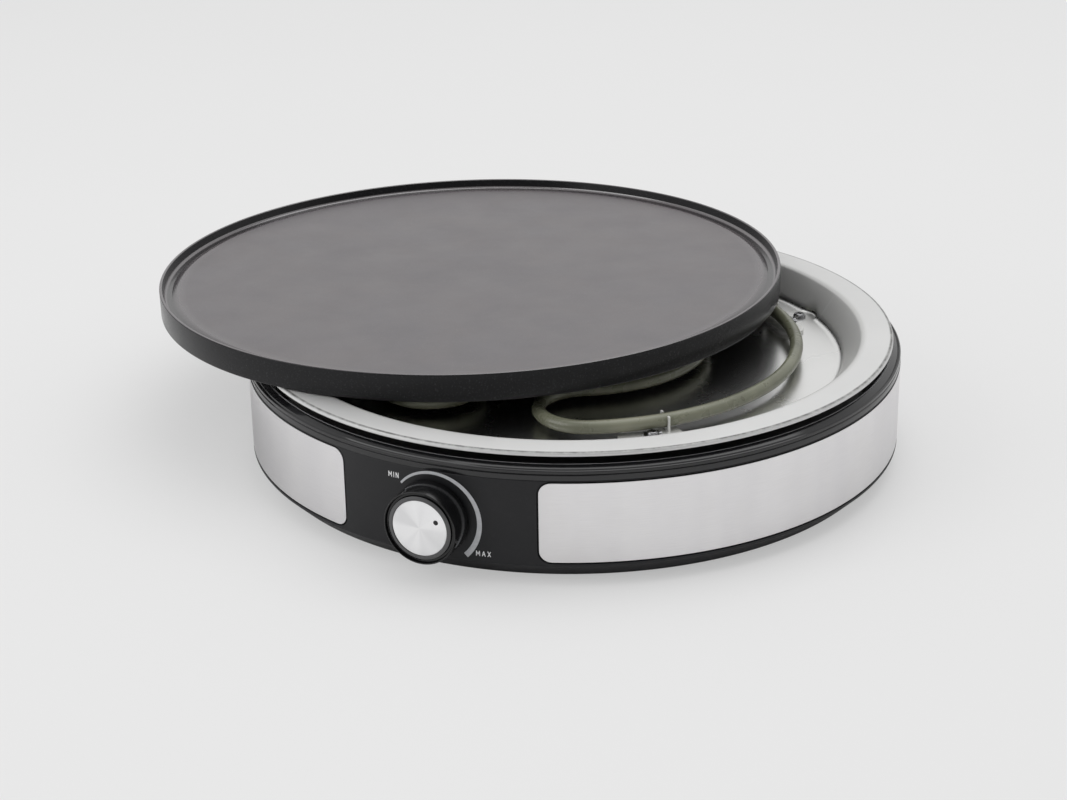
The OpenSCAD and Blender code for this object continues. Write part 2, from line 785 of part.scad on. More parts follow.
module knob_body() {
  color(black) at_knob() difference() {
    rotate([-90, 0, 0]) rotate_extrude($fn = 120) polygon([
      [0, disc_floor_y], [disc_r + fit_gap, disc_floor_y],
      [disc_r + fit_gap, knob_front + 0.2], [disc_r + 0.6, knob_front],
      [bezel_r - 0.5, knob_front + 0.3], [bezel_r, knob_front + 0.8], [bezel_r, step_y],
      [knob_r - 0.9, step_y + 0.4], [knob_r, barrel_y],
      [knob_r, knob_back], [knob_r - knob_shell_t, knob_back],
      [knob_r - knob_shell_t, knob_roof_y], [hub_r, knob_roof_y], [hub_r, knob_back],
      [0, knob_back]]);
    shaft_section(spindle_r + turn_gap, spindle_front - rest_gap, knob_back + over);
    translate([0, 0, dot_circle_r]) rod_y(dot_r, knob_front, disc_floor_y + dot_depth);
  }
}

module knob_disc() {
  color(bright) at_knob() difference() {
    rod_y(disc_r, knob_front + disc_sink, disc_floor_y, 120);
    translate([0, 0, dot_circle_r]) rod_y(dot_r, knob_front - over, disc_floor_y + over);
  }
}

module knob_pointer() {
  color([0.05, 0.05, 0.05]) at_knob() translate([0, 0, dot_circle_r])
    rod_y(dot_r, knob_front + disc_sink / 2, disc_floor_y + dot_depth);
}

module knob_spring() {
  y0 = knob_back - spring_w - 1;
  color(steel) at_knob() difference() {
    rod_y(hub_r + spring_t + turn_gap, y0, y0 + spring_w);
    rod_y(hub_r + turn_gap, y0 - over, y0 + spring_w + over);
    translate([-spring_slot / 2, y0 - over, 0])
      cube([spring_slot, spring_w + 2 * over, hub_r + 2 * spring_t]);
  }
}

module thermostat_spindle() {
  color(brass) at_knob() {
    shaft_section(spindle_r, spindle_front, knob_back);
    rod_y(spindle_r, knob_back, spindle_back, 48);
  }
}

module thermostat_bracket() {
  color(steel) difference() {
    union() {
      translate([-bracket_w / 2, bracket_y, floor_top])
        cube([bracket_w, bracket_t, bracket_top - floor_top]);
      translate([-bracket_w / 2, bracket_y, floor_top])
        cube([bracket_w, bracket_foot_l, bracket_t]);
    }
    translate([0, 0, knob_z])
      rod_y(sleeve_r + fit_gap, bracket_y - over, bracket_y + bracket_t + over);
    for (s = [-1, 1]) translate([s * bracket_screw_x, bracket_screw_y, floor_top - over])
      cylinder(r = screw_r + slip_gap, h = bracket_t + 2 * over, $fn = 32);
  }
}

module bracket_screws() {
  color(dark_steel) for (s = [-1, 1])
    translate([s * bracket_screw_x, bracket_screw_y, floor_top + bracket_t])
      screw(screw_r, small_head_r, small_head_h, bracket_t + floor_t);
}

module thermostat_body() {
  arm_y = block_d + arm_gap;
  color(ceramic) translate([0, bracket_y + bracket_t, knob_z]) difference() {
    union() {
      translate([-block_w / 2, 0, -block_h / 2]) cube([block_w, block_d, block_h]);
      rod_y(sleeve_r, -bracket_t - sleeve_out, over);
      translate([-block_w / 4, 0, -block_h / 2]) cube([block_w / 2, arm_y + 3, shelf_h]);
    }
    rod_y(spindle_r + turn_gap, -bracket_t - sleeve_out - over, block_d + over, 48);
    translate([-arm_w / 2 - arm_play, arm_y - arm_play, arm_low - knob_z - arm_play])
      cube([arm_w + 2 * arm_play, arm_t + 2 * arm_play, shelf_h]);
  }
}

module thermostat_nut() {
  color(brass) translate([0, 0, knob_z]) difference() {
    rod_y(nut_r, bracket_y - nut_h, bracket_y, 6);
    rod_y(sleeve_r + fit_gap, bracket_y - nut_h - over, bracket_y + over);
  }
}

module bimetal_strip() {
  z0 = knob_z + block_h / 2;
  z1 = bowl_under - fit_gap;
  foot_l = block_d - 2 * strip_inset;
  color(copper) translate([-strip_w / 2, bracket_y + bracket_t + strip_inset, z0]) {
    cube([strip_w, foot_l, strip_t]);
    translate([0, foot_l - strip_t, 0]) cube([strip_w, strip_t, z1 - z0]);
    translate([0, foot_l - strip_t, z1 - z0 - strip_t]) cube([strip_w, strip_reach, strip_t]);
  }
}

module contact_arm() {
  color(copper) translate([-arm_w / 2, block_back + arm_gap, arm_low]) cube([arm_w, arm_t, arm_h]);
}

module terminal_block() {
  color(ceramic) translate([0, block_y + poles_d / 2, 0]) difference() {
    block(poles_w, poles_d, floor_top, floor_top + poles_h);
    for (i = [-1:1]) translate([i * pole_pitch, 0, floor_top + poles_h - pole_screw_depth])
      cylinder(r = pole_screw_r + fit_gap, h = pole_screw_depth + over, $fn = 32);
  }
}

module terminal_screws() {
  color(brass) for (i = [-1:1])
    translate([i * pole_pitch, block_y + poles_d / 2, floor_top + poles_h - pole_screw_depth])
      difference() {
        cylinder(r = pole_screw_r, h = pole_screw_depth - 1, $fn = 32);
        block(2 * pole_screw_r + over, recess_w, pole_screw_depth - 1.8, pole_screw_depth);
      }
}

module thermal_fuse() {
  color(steel) translate([fuse_x - fuse_l / 2, fuse_y, fuse_z]) rotate([0, 90, 0]) {
    cylinder(r = fuse_r, h = fuse_l, $fn = 48);
    translate([0, 0, -fuse_pin_l]) cylinder(r = wire_r, h = fuse_l + 2 * fuse_pin_l, $fn = 24);
  }
}

module fuse_clip() {
  color(dark_steel) translate([fuse_x, fuse_y, 0]) difference() {
    union() {
      block(fuse_clip_w, 12, bowl_under - fuse_clip_t, bowl_under);
      block(fuse_clip_w, 3, fuse_z + fuse_r + fit_gap, bowl_under - fuse_clip_t / 2);
      translate([-fuse_clip_w / 2, 0, fuse_z]) rotate([0, 90, 0])
        cylinder(r = fuse_r + fuse_clip_t, h = fuse_clip_w, $fn = 48);
    }
    translate([-fuse_clip_w / 2 - over, 0, fuse_z]) rotate([0, 90, 0])
      cylinder(r = fuse_r + fit_gap, h = fuse_clip_w + 2 * over, $fn = 48);
    block(fuse_clip_w + 2 * over, 3, fuse_z - 2 * fuse_r, fuse_z);
  }
}

module earth_stud() {
  color(brass) translate([stud_x, stud_y, 0]) {
    translate([0, 0, bowl_under - stud_l]) cylinder(r = stud_r, h = stud_l + sheet_t, $fn = 32);
    translate([0, 0, bowl_z]) cylinder(r = stud_head_r, h = 1, $fn = 48);
    translate([0, 0, bowl_under - stud_nut_h]) cylinder(r = 2 * stud_r, h = stud_nut_h, $fn = 6);
    translate([0, 0, stud_washer_z - 0.5]) cylinder(r = stud_washer_r, h = 1, $fn = 48);
  }
}

module cord_gland() {
  neck = gland_wall_r;
  snap_y = wall_in - 0.6;
  face_y = gland_out + gland_flange_t;
  color(black) translate([0, 0, gland_z]) rotate([-90, 0, 0]) rotate_extrude($fn = 64) polygon([
    [cord_r, gland_in], [neck + 0.5, gland_in], [neck + 1, snap_y], [neck, snap_y],
    [neck, gland_out], [gland_flange_r, gland_out], [gland_flange_r, face_y - 1],
    [gland_flange_r - 0.8, face_y], [cord_r + 0.5, face_y], [cord_r, face_y - 0.5]]);
}

module cord_clamp() {
  z0 = gland_z + cord_r;
  color(black) translate([0, clamp_y, 0]) difference() {
    block(2 * (clamp_gap + clamp_boss_r), clamp_bar_w, z0, z0 + clamp_bar_t);
    for (s = [-1, 1]) translate([s * clamp_gap, 0, z0 - over])
      cylinder(r = clamp_screw_r + slip_gap, h = clamp_bar_t + 2 * over, $fn = 32);
  }
}

module clamp_screws() {
  color(dark_steel) for (s = [-1, 1])
    translate([s * clamp_gap, clamp_y, gland_z + cord_r + clamp_bar_t])
      screw(clamp_screw_r, clamp_head_r, clamp_head_h, clamp_bar_t + clamp_screw_bite);
}

module wire_live() {
  from = polar(wire_ring_r, -25, wire_z);
  color([0.45, 0.25, 0.12]) wire(concat(
    [[-block_w / 2, block_mid_y, wire_out_z],
      [-block_w / 2 - wire_lead, block_mid_y, wire_out_z],
      [from[0] + wire_sweep, block_mid_y + 2, wire_out_z - 1]],
    [for (a = [-25:-15:-150]) polar(wire_ring_r, a, wire_z)],
    [[-2 * pole_pitch, block_y - pole_pitch, pole_z + 2],
      [-pole_pitch, block_y - wire_lead, pole_z],
      [-pole_pitch, block_y, pole_z]]));
}

module wire_switched() {
  color([0.55, 0.12, 0.10]) wire([[block_w / 2, block_mid_y, wire_out_z],
    [block_w / 2 + wire_lead, block_mid_y, wire_out_z],
    [block_w / 2 + 1.35 * wire_sweep, block_mid_y + 1.35 * wire_sweep, wire_out_z + 2],
    [wire_run_x, 0.42 * block_mid_y, wire_run_z], [wire_run_x, 0, wire_run_z],
    [leg_end[0] + 1.25 * wire_sweep, leg_end[1] - 1.25 * wire_sweep, wire_run_z],
    leg_end - [0, 0, wire_up], leg_end]);
}

module wire_neutral() {
  pin_x = fuse_x - fuse_l / 2 - fuse_pin_l;
  color([0.15, 0.25, 0.55]) wire([[pole_pitch, block_y, pole_z], [pole_pitch, block_y - wire_lead, pole_z],
    [0, block_y - 1.5 * wire_sweep, pole_z + wire_lead / 2],
    [0.57 * pin_x, block_y - 1.95 * wire_sweep, pole_z + 1.1 * wire_lead],
    [pin_x - wire_lead, fuse_y + 2 * wire_sweep, fuse_z - 1.6 * wire_lead],
    [pin_x - 2.1 * wire_lead, fuse_y + 0.8 * wire_lead, fuse_z - wire_lead / 4],
    [pin_x - wire_lead, fuse_y, fuse_z], [pin_x, fuse_y, fuse_z]]);
}

module wire_fused() {
  pin_x = fuse_x + fuse_l / 2 + fuse_pin_l;
  tag = [-leg_end[0], leg_end[1], leg_end[2]];
  color([0.15, 0.25, 0.55]) wire([[pin_x, fuse_y, fuse_z], [pin_x + wire_up, fuse_y, fuse_z],
    [pin_x + 2 * wire_up, fuse_y + wire_lead / 2, fuse_z - 1.25 * wire_lead],
    tag + [wire_lead / 2, -wire_lead / 2, -1.25 * wire_lead], tag - [0, 0, wire_up], tag]);
}

module wire_earth() {
  rim = [stud_x - stud_washer_r, stud_y, stud_washer_z];
  color([0.45, 0.55, 0.10]) wire([[0, block_y, pole_z], [0, block_y - wire_up, pole_z],
    [0.67 * wire_sweep, block_y - 1.27 * wire_sweep, pole_z + wire_up],
    [stud_x - 1.2 * wire_sweep, stud_y + 2, stud_washer_z - 1.4 * wire_lead],
    rim - [wire_lead, 0, 0], rim]);
}

// The plate's own form, standing on its skirt
module plate_form() {
  deck = plate_h - lip_rise;
  low = deck - gutter_d;
  lip_foot_r = plate_r - lip_t - lip_draft;
  slope_r = lip_foot_r - gutter_round - gutter_w;
  turned(concat(
    [[0, skirt_h], [skirt_in_r, skirt_h], [skirt_in_r, skirt_face_w], [skirt_touch_r, 0]],
    arc([plate_r - plate_edge_r, plate_edge_r], plate_edge_r, -90, 0, 4),
    arc([plate_r - lip_t / 2, plate_h - lip_t / 2], lip_t / 2, 0, 180),
    arc([lip_foot_r - gutter_round, low + gutter_round], gutter_round, 0, -90, 5),
    [[slope_r, low], [slope_r - gutter_slope_w * 0.3, low + gutter_d * 0.35],
      [slope_r - gutter_slope_w * 0.65, deck - gutter_d * 0.1],
      [slope_r - gutter_slope_w, deck], [0, deck]]));
}

module baking_plate() {
  color(coating) rotate([0, 0, plate_heading]) translate([plate_shift, 0, plate_z])
    rotate([0, plate_tilt, 0]) plate_form();
}

housing();
top_ring();
steel_band_right();
steel_band_left();
bottom_cover();
cover_screws();
feet();
reflector_bowl();
bowl_screws();
bowl_spacers();
heating_element();
element_bushes();
element_tags();
element_clips();
clip_washers();
clip_screws();
knob_body();
knob_disc();
knob_pointer();
knob_spring();
thermostat_spindle();
thermostat_bracket();
bracket_screws();
thermostat_body();
thermostat_nut();
bimetal_strip();
contact_arm();
terminal_block();
terminal_screws();
thermal_fuse();
fuse_clip();
earth_stud();
cord_gland();
cord_clamp();
clamp_screws();
wire_live();
wire_switched();
wire_neutral();
wire_fused();
wire_earth();
baking_plate();
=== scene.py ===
"""The looks of an electric crepe maker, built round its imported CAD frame.

+Z is up and -Y is the front with the knob. Lengths in the shape code are in
millimetres, and MM turns them into Blender's metres.
"""

import json
import math

import bmesh
import bpy
from mathutils import Matrix, Vector


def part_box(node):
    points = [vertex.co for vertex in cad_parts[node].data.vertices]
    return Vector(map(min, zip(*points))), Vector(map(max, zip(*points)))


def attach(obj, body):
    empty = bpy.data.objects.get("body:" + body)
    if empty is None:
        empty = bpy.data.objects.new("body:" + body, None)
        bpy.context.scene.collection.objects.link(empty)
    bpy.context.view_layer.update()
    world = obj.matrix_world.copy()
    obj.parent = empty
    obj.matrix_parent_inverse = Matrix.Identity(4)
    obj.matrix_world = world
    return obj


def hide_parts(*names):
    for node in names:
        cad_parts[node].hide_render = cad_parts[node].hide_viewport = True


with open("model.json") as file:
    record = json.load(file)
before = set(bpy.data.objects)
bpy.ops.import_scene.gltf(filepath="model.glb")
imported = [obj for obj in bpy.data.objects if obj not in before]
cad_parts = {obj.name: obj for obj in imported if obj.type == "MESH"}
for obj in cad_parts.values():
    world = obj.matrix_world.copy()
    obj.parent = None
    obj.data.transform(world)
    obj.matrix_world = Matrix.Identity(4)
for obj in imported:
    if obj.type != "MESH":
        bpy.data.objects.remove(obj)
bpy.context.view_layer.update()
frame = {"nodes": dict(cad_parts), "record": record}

MM = 0.001


def low(node):
    """Lowest corner of a CAD node, in millimetres."""
    return [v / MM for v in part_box(node)[0]]


def high(node):
    """Highest corner of a CAD node, in millimetres."""
    return [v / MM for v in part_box(node)[1]]


# Levels and radii that the frame gives
BASE_R = high("steel_band_right")[0]
EDGE_Z = low("housing")[2]
WALL_TOP = high("housing")[2]
RING_TOP = high("top_ring")[2]
BAND_LOW = low("steel_band_right")[2]
BAND_TOP = high("steel_band_right")[2]
BAND_END_X = low("steel_band_right")[0]
FLANGE_R = high("reflector_bowl")[0]
FLANGE_Z = high("reflector_bowl")[2]
BOWL_UNDER = low("reflector_bowl")[2]
KNOB_FRONT = low("knob_body")[1]
KNOB_BACK = high("knob_body")[1]
KNOB_R = high("knob_body")[0]
KNOB_Z = (low("knob_body")[2] + high("knob_body")[2]) / 2
DISC_R = high("knob_disc")[0]
FLOOR_Z = high("bottom_cover")[2]

# Housing, and the bands let into it
FIT_GAP = 0.1            # round a piece in its seat
WALL_IN = BASE_R - 2.4
FLOOR_TOP = FLOOR_Z + 2.5
BAND_T = 0.5
BAND_CORNER_R = 5.5
BAND_GAP = 0.75          # the dark line round each band
BAND_RECESS = 1.7

# Bowl, heating tube and clips
SHEET_T = 0.8
BOWL_Z = BOWL_UNDER + SHEET_T
LIP_H = 1.7
FLAT_IN_R = 144.5        # where the flat flange starts
FOOT_R = 130.56          # where the flat floor ends
POCKET_R = 9
POCKET_CIRCLE_R = 127.06
CORNERS = [45, 135, 225, 315]
TUBE_R = 3.25
TUBE_LIFT = 6.5
TUBE_Z = BOWL_Z + TUBE_LIFT
COIL_R = 111
COIL_INNER_R = 65.5
LOBE_START = 27
LEG_ANGLE = 160
LEG_BEND_R = 6.5
LEG_LOW = BOWL_UNDER - 7
CLIP_FOOT_H = low("clip_washers")[2] - BOWL_Z

# Baking plate, and how it lies
PLATE_R = 160.8
PLATE_H = 13.6
DECK_Z = PLATE_H - 4
GUTTER_Z = DECK_Z - 1
LIP_FOOT_R = PLATE_R - 2.5
PLATE_SHIFT = 77.8
PLATE_HEADING = 156
PLATE_TILT = 1.16872
PLATE_Z = 62.0111

# Knob's dot
DOT_TURN = 63
DOT_R = 1.15
DOT_CIRCLE_R = 9

# Columns round a full turn
BOWL_COLUMNS = 288
WIDE_COLUMNS = 360
KNOB_COLUMNS = 160

SHARP = 35               # edges past this many degrees stay sharp
MERGE = 0.0005           # points closer than this become one


# ---------------------------------------------------------------- mesh tools

def polar(r, angle, z):
    """A point at a radius, an angle from the front towards +X, and a height."""
    a = math.radians(angle)
    return (r * math.sin(a), -r * math.cos(a), z)


def arc(x, y, r, start, end, steps=6):
    """Points of a round stretch about (x, y), from one angle to another."""
    turns = [math.radians(start + (end - start) * i / steps) for i in range(steps + 1)]
    return [(x + r * math.cos(a), y + r * math.sin(a)) for a in turns]


def rounded(corners, steps=5):
    """An open outline: corners are (r, z) or (r, z, fillet radius)."""
    points = []
    for i, corner in enumerate(corners):
        here = Vector(corner[:2])
        fillet = corner[2] if len(corner) > 2 else 0
        if not fillet or i in (0, len(corners) - 1):
            points.append(tuple(here))
            continue
        to_last = (Vector(corners[i - 1][:2]) - here).normalized()
        to_next = (Vector(corners[i + 1][:2]) - here).normalized()
        half = to_last.angle(to_next) / 2
        reach = fillet / math.tan(half)
        centre = here + (to_last + to_next).normalized() * (fillet / math.sin(half))
        start, end = here + to_last * reach, here + to_next * reach
        a0 = math.atan2(start.y - centre.y, start.x - centre.x)
        a1 = math.atan2(end.y - centre.y, end.x - centre.x)
        turn = (a1 - a0 + math.pi) % (2 * math.pi) - math.pi
        points += arc(centre.x, centre.y, fillet,
                      math.degrees(a0), math.degrees(a0 + turn), steps)
    return points


def grid_faces(columns, rows, wrap_columns, wrap_rows):
    """Quads of a grid whose vertices are listed column by column."""
    faces = []
    for i in range(columns if wrap_columns else columns - 1):
        for j in range(rows if wrap_rows else rows - 1):
            i2, j2 = (i + 1) % columns, (j + 1) % rows
            faces.append((i * rows + j, i2 * rows + j, i2 * rows + j2, i * rows + j2))
    return faces


def smooth_mesh(mesh, sharp):
    """Merges doubled points, points the faces outwards and smooths them."""
    bm = bmesh.new()
    bm.from_mesh(mesh)
    bmesh.ops.remove_doubles(bm, verts=bm.verts, dist=MERGE * MM)
    bmesh.ops.recalc_face_normals(bm, faces=bm.faces)
    bm.to_mesh(mesh)
    bm.free()
    mesh.polygons.foreach_set("use_smooth", [True] * len(mesh.polygons))
    mesh.set_sharp_from_angle(angle=math.radians(sharp))


def make_piece(name, vertices, faces, slot, body, replaces=(), sharp=SHARP):
    """A smooth piece from points in millimetres, riding on a body.

    Its material has the slot's name, and it stands for the nodes it replaces.
    """
    mesh = bpy.data.meshes.new(name)
    mesh.from_pydata([Vector(v) * MM for v in vertices], [], faces)
    smooth_mesh(mesh, sharp)
    mesh.materials.append(MATERIALS[slot])
    piece = bpy.data.objects.new(name, mesh)
    bpy.context.scene.collection.objects.link(piece)
    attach(piece, body)
    if replaces:
        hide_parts(*replaces)
    return piece


def make_turned(name, outline, columns, slot, body, replaces, place=Matrix()):
    """A piece turned from (r, z) points about Z, then stood at its place."""
    vertices = [polar(r, 360 * i / columns, z) for i in range(columns) for r, z in outline]
    faces = grid_faces(columns, len(outline), True, False)
    return make_piece(name, moved(vertices, place), faces, slot, body, replaces)


def moved(vertices, matrix):
    """Points moved by a matrix."""
    return [matrix @ Vector(v) for v in vertices]


def at_corners(r, z):
    """Matrices that stand a shape at the four corners, at a radius and height."""
    return [Matrix.Rotation(math.radians(a - 90), 4, "Z") @ Matrix.Translation((r, 0, z))
            for a in CORNERS]


def paint(piece, slot, chosen):
    """A second material on the faces whose middle, in millimetres, is chosen."""
    piece.data.materials.append(MATERIALS[slot])
    for polygon in piece.data.polygons:
        if chosen(polygon.center / MM):
            polygon.material_index = 1


def soften(piece, width, angle):
    """Rounds the edges of a piece that are sharper than an angle."""
    bevel = piece.modifiers.new("soft_edges", "BEVEL")
    bevel.width = width * MM
    bevel.segments = 2
    bevel.limit_method = "ANGLE"
    bevel.angle_limit = math.radians(angle)
    bevel.harden_normals = True


def plate_matrix():
    """Where the laid-down plate's own frame lies."""
    return (Matrix.Rotation(math.radians(PLATE_HEADING), 4, "Z")
            @ Matrix.Translation((PLATE_SHIFT, 0, PLATE_Z))
            @ Matrix.Rotation(math.radians(PLATE_TILT), 4, "Y"))


# ---------------------------------------------------------------- node tools

def opaque(color):
    """A colour with its alpha; a node's output stays as it is."""
    return (*color, 1) if isinstance(color, tuple) else color


class Nodes:
    """Short calls that build a node tree."""

    def __init__(self, tree):
        self.nodes, self.links = tree.nodes, tree.links

    def feed(self, socket, value):
        """Links a node's output to a socket, or sets the socket's constant."""
        if hasattr(value, "is_linked"):
            self.links.new(value, socket)
        else:
            socket.default_value = value

    def node(self, kind, inputs=(), **settings):
        """A node with its settings, and its inputs set or linked."""
        made = self.nodes.new(kind)
        for key, value in settings.items():
            setattr(made, key, value)
        for key, value in dict(inputs).items():
            self.feed(made.inputs[key], value)
        return made

    def math(self, operation, *values, clamp=False):
        """One step of arithmetic on numbers and outputs."""
        return self.node("ShaderNodeMath", enumerate(values),
                         operation=operation, use_clamp=clamp).outputs[0]

    def ramp(self, value, *stops):
        """A colour or grey ramp: stops are (place, grey) or (place, (r, g, b))."""
        made = self.node("ShaderNodeValToRGB", {"Fac": value})
        elements = made.color_ramp.elements
        while len(elements) < len(stops):
            elements.new(0.5)
        for element, (place, tone) in zip(elements, stops):
            element.position = place
            element.color = opaque(tone if isinstance(tone, tuple) else (tone,) * 3)
        return made.outputs["Color"]


class Shade(Nodes):
    """A procedural material, with short calls for what its shader takes."""

    LEAST, MOST = 0.3, 0.7    # the range that noise mostly keeps to

    def __init__(self, name, color, roughness, metallic=0.0, **constants):
        self.material = bpy.data.materials.new(name)
        self.material.use_nodes = True
        super().__init__(self.material.node_tree)
        self.bsdf = self.nodes["Principled BSDF"]
        self.set("Base Color", opaque(color))
        self.set("Roughness", roughness)
        self.set("Metallic", metallic)
        for socket, value in constants.items():
            self.set(socket.replace("_", " "), value)
        self.coords = self.node("ShaderNodeTexCoord").outputs["Object"]

    def set(self, socket, value):
        """Sets a constant, or links a node's output, on the shader."""
        self.feed(self.bsdf.inputs[socket], value)

    def combine(self, **values):
        """A vector from its named coordinates."""
        return self.node("ShaderNodeCombineXYZ", values).outputs[0]

    def stretch(self, x, y, z):
        """Coordinates scaled along each axis."""
        return self.node("ShaderNodeMapping", {"Vector": self.coords,
                                               "Scale": (x, y, z)}).outputs[0]

    def noise(self, scale, detail=3.0, roughness=0.6, vector=None):
        """Noise from 0 to 1, at features per metre."""
        return self.node("ShaderNodeTexNoise", {
            "Vector": vector or self.coords, "Scale": scale,
            "Detail": detail, "Roughness": roughness}).outputs["Fac"]

    def tones(self, noise, first, last):
        """Two tones over noise's usual range."""
        return self.ramp(noise, (self.LEAST, first), (self.MOST, last))

    def spread(self, value, from_low, from_high, to_low, to_high):
        """A value mapped from one range to another."""
        return self.node("ShaderNodeMapRange", {
            "Value": value, "From Min": from_low, "From Max": from_high,
            "To Min": to_low, "To Max": to_high}).outputs["Result"]

    def vary(self, noise, lowest, highest):
        """A number over noise's usual range."""
        return self.spread(noise, self.LEAST, self.MOST, lowest, highest)

    def mix(self, share, one, two):
        """A colour between two colours or outputs."""
        return self.node("ShaderNodeMix", {0: share, 6: opaque(one), 7: opaque(two)},
                         data_type="RGBA").outputs[2]

    def bump(self, height, strength, distance):
        """A bump of a real depth in metres, after any bump made before."""
        inputs = {"Height": height, "Strength": strength, "Distance": distance}
        last = self.bsdf.inputs["Normal"]
        if last.is_linked:
            inputs["Normal"] = last.links[0].from_socket
        self.set("Normal", self.node("ShaderNodeBump", inputs).outputs["Normal"])

    def tangent(self, axis):
        """Brushing that runs round an axis."""
        self.set("Tangent", self.node("ShaderNodeTangent", direction_type="RADIAL",
                                      axis=axis).outputs[0])

    def radius(self, first="X", second="Y", centre=0.0):
        """Distance from an axis in metres, and the two coordinates it comes from."""
        split = self.node("ShaderNodeSeparateXYZ", {"Vector": self.coords})
        one, two = split.outputs[first], self.math("SUBTRACT", split.outputs[second], centre)
        squares = self.math("ADD", self.math("MULTIPLY", one, one),
                            self.math("MULTIPLY", two, two))
        return self.math("SQRT", squares), one, two

    def round_the_axis(self, along, across):
        """Coordinates that run round Z, for grain that follows a turned wall."""
        split = self.node("ShaderNodeSeparateXYZ", {"Vector": self.coords})
        angle = self.math("ARCTAN2", split.outputs["X"], split.outputs["Y"])
        return self.combine(X=self.math("MULTIPLY", angle, along),
                            Y=self.math("MULTIPLY", split.outputs["Z"], across))


# ----------------------------------------------------------------- materials

def plate_material():
    """Dark non-stick coating: speckle, faint stains, a glossy edge, painted shade in the
    gutter.
    """
    s = Shade("plate_coating", (0.05, 0.05, 0.05), 0.4, IOR=2.3)
    tone = s.tones(s.noise(9, 3, 0.5), (0.051, 0.042, 0.050), (0.065, 0.053, 0.060))
    stain = s.spread(s.noise(32, 4, 0.65), 0.38, 0.66, 0, 0.6)
    tone = s.mix(stain, tone, (0.077, 0.062, 0.064))
    middle = plate_matrix() @ Vector((0, 0, (DECK_Z + GUTTER_Z) / 2)) * MM
    reach = s.node("ShaderNodeVectorMath", {0: s.coords, 1: middle},
                   operation="DISTANCE").outputs["Value"]

    def fade(start, end, first, last):
        """A number that changes between two distances inside the lip's foot."""
        return s.spread(reach, (LIP_FOOT_R - start) * MM, (LIP_FOOT_R - end) * MM, first, last)

    # painted shade: the gutter under the lip gets a darker colour and a weaker reflection
    gutter = s.math("MULTIPLY", fade(6.8, 3.3, 0, 0.8), fade(1.3, 0.8, 1, 0))
    gloss = fade(11.3, 4.3, 0, 0.20)
    tone = s.mix(gutter, tone, (0.012, 0.012, 0.0125))
    speck = s.spread(s.noise(1500, 2, 0.7), 0.60, 0.78, 0, 0.6)
    s.set("Base Color", s.mix(speck, tone, (0.19, 0.18, 0.18)))
    s.set("Specular IOR Level", s.spread(gutter, 0, 1, 0.5, 0.25))
    s.set("Roughness", s.math("SUBTRACT", s.vary(s.noise(40), 0.35, 0.42), gloss))
    s.bump(s.noise(900, 3, 0.7), 0.15, 0.00012)
    s.bump(s.noise(60, 2), 0.04, 0.0004)
    return s.material


def shaded_rim_material():
    """The coating on the plate's outside, smoother, and darker as painted shade."""
    color = (0.012, 0.012, 0.013)
    s = Shade("plate_rim_shaded", color, 0.25, Specular_IOR_Level=0.2)
    speck = s.spread(s.noise(1100, 2, 0.7), 0.56, 0.76, 0, 0.7)
    s.set("Base Color", s.mix(speck, color, (0.045, 0.045, 0.048)))
    s.set("Roughness", s.vary(s.noise(50), 0.20, 0.28))
    s.bump(s.noise(800, 3, 0.7), 0.2, 0.0001)
    return s.material


def bowl_material():
    """Satin aluminium: bright floor, duller wall and flange, painted shade along the flange's
    bend.
    """
    s = Shade("bowl_metal", (0.82, 0.82, 0.81), 0.35, metallic=1.0)
    radius = s.radius()[0]
    flange = s.spread(radius, (FLAT_IN_R - 1) * MM, (FLAT_IN_R + 1) * MM, 0, 1)
    height = s.node("ShaderNodeSeparateXYZ", {"Vector": s.coords}).outputs["Z"]
    wall = s.spread(height, (BOWL_Z + 1.2) * MM, (BOWL_Z + 4) * MM, 0, 1)
    bend = s.math("ABSOLUTE", s.math("SUBTRACT", radius, (FLANGE_R - 0.95) * MM))
    # painted shade: a dark line, broken by noise, along the bend of the flange's lip
    bend_shade = s.math("MULTIPLY", s.spread(bend, 0.0002, 0.0009, 0.9, 0),
                   s.spread(s.noise(260, 4, 0.7), 0.3, 0.6, 0.45, 1))
    smear = s.noise(14, 4)
    floor = s.tones(smear, (0.80, 0.80, 0.79), (0.86, 0.86, 0.85))
    dull = s.tones(smear, (0.655, 0.655, 0.65), (0.70, 0.70, 0.695))
    sheet = s.mix(flange, s.mix(wall, floor, (0.62, 0.62, 0.61)), dull)
    s.set("Base Color", s.mix(bend_shade, sheet, (0.10, 0.10, 0.095)))
    s.set("Metallic", s.math("SUBTRACT", s.spread(wall, 0, 1, 1.0, 0.60),
                             s.math("MULTIPLY", flange, 0.22)))
    s.set("Roughness", s.math("ADD", s.math("MULTIPLY", wall, 0.16),
                              s.vary(smear, 0.24, 0.31)))
    s.bump(s.noise(60, vector=s.stretch(2, 40, 2)), 0.006, 0.0003)
    s.bump(s.noise(700, 2), 0.02, 0.0001)
    scratch = s.noise(1, 2, 0.5, s.stretch(500, 16, 60))
    s.bump(s.spread(scratch, 0.72, 0.76, 0, -1), 0.10, 0.0001)
    return s.material


def tube_material():
    """Olive grey oxidised heating tube with a soft sheen."""
    s = Shade("sheath", (0.2, 0.2, 0.15), 0.3, Specular_IOR_Level=0.6)
    s.set("Base Color", s.ramp(s.noise(45, 2, 0.5), (0.25, (0.125, 0.128, 0.088)),
                               (0.5, (0.17, 0.175, 0.122)), (0.8, (0.24, 0.24, 0.175))))
    s.set("Roughness", s.vary(s.noise(120), 0.24, 0.36))
    s.bump(s.noise(300, 2), 0.03, 0.0001)
    return s.material


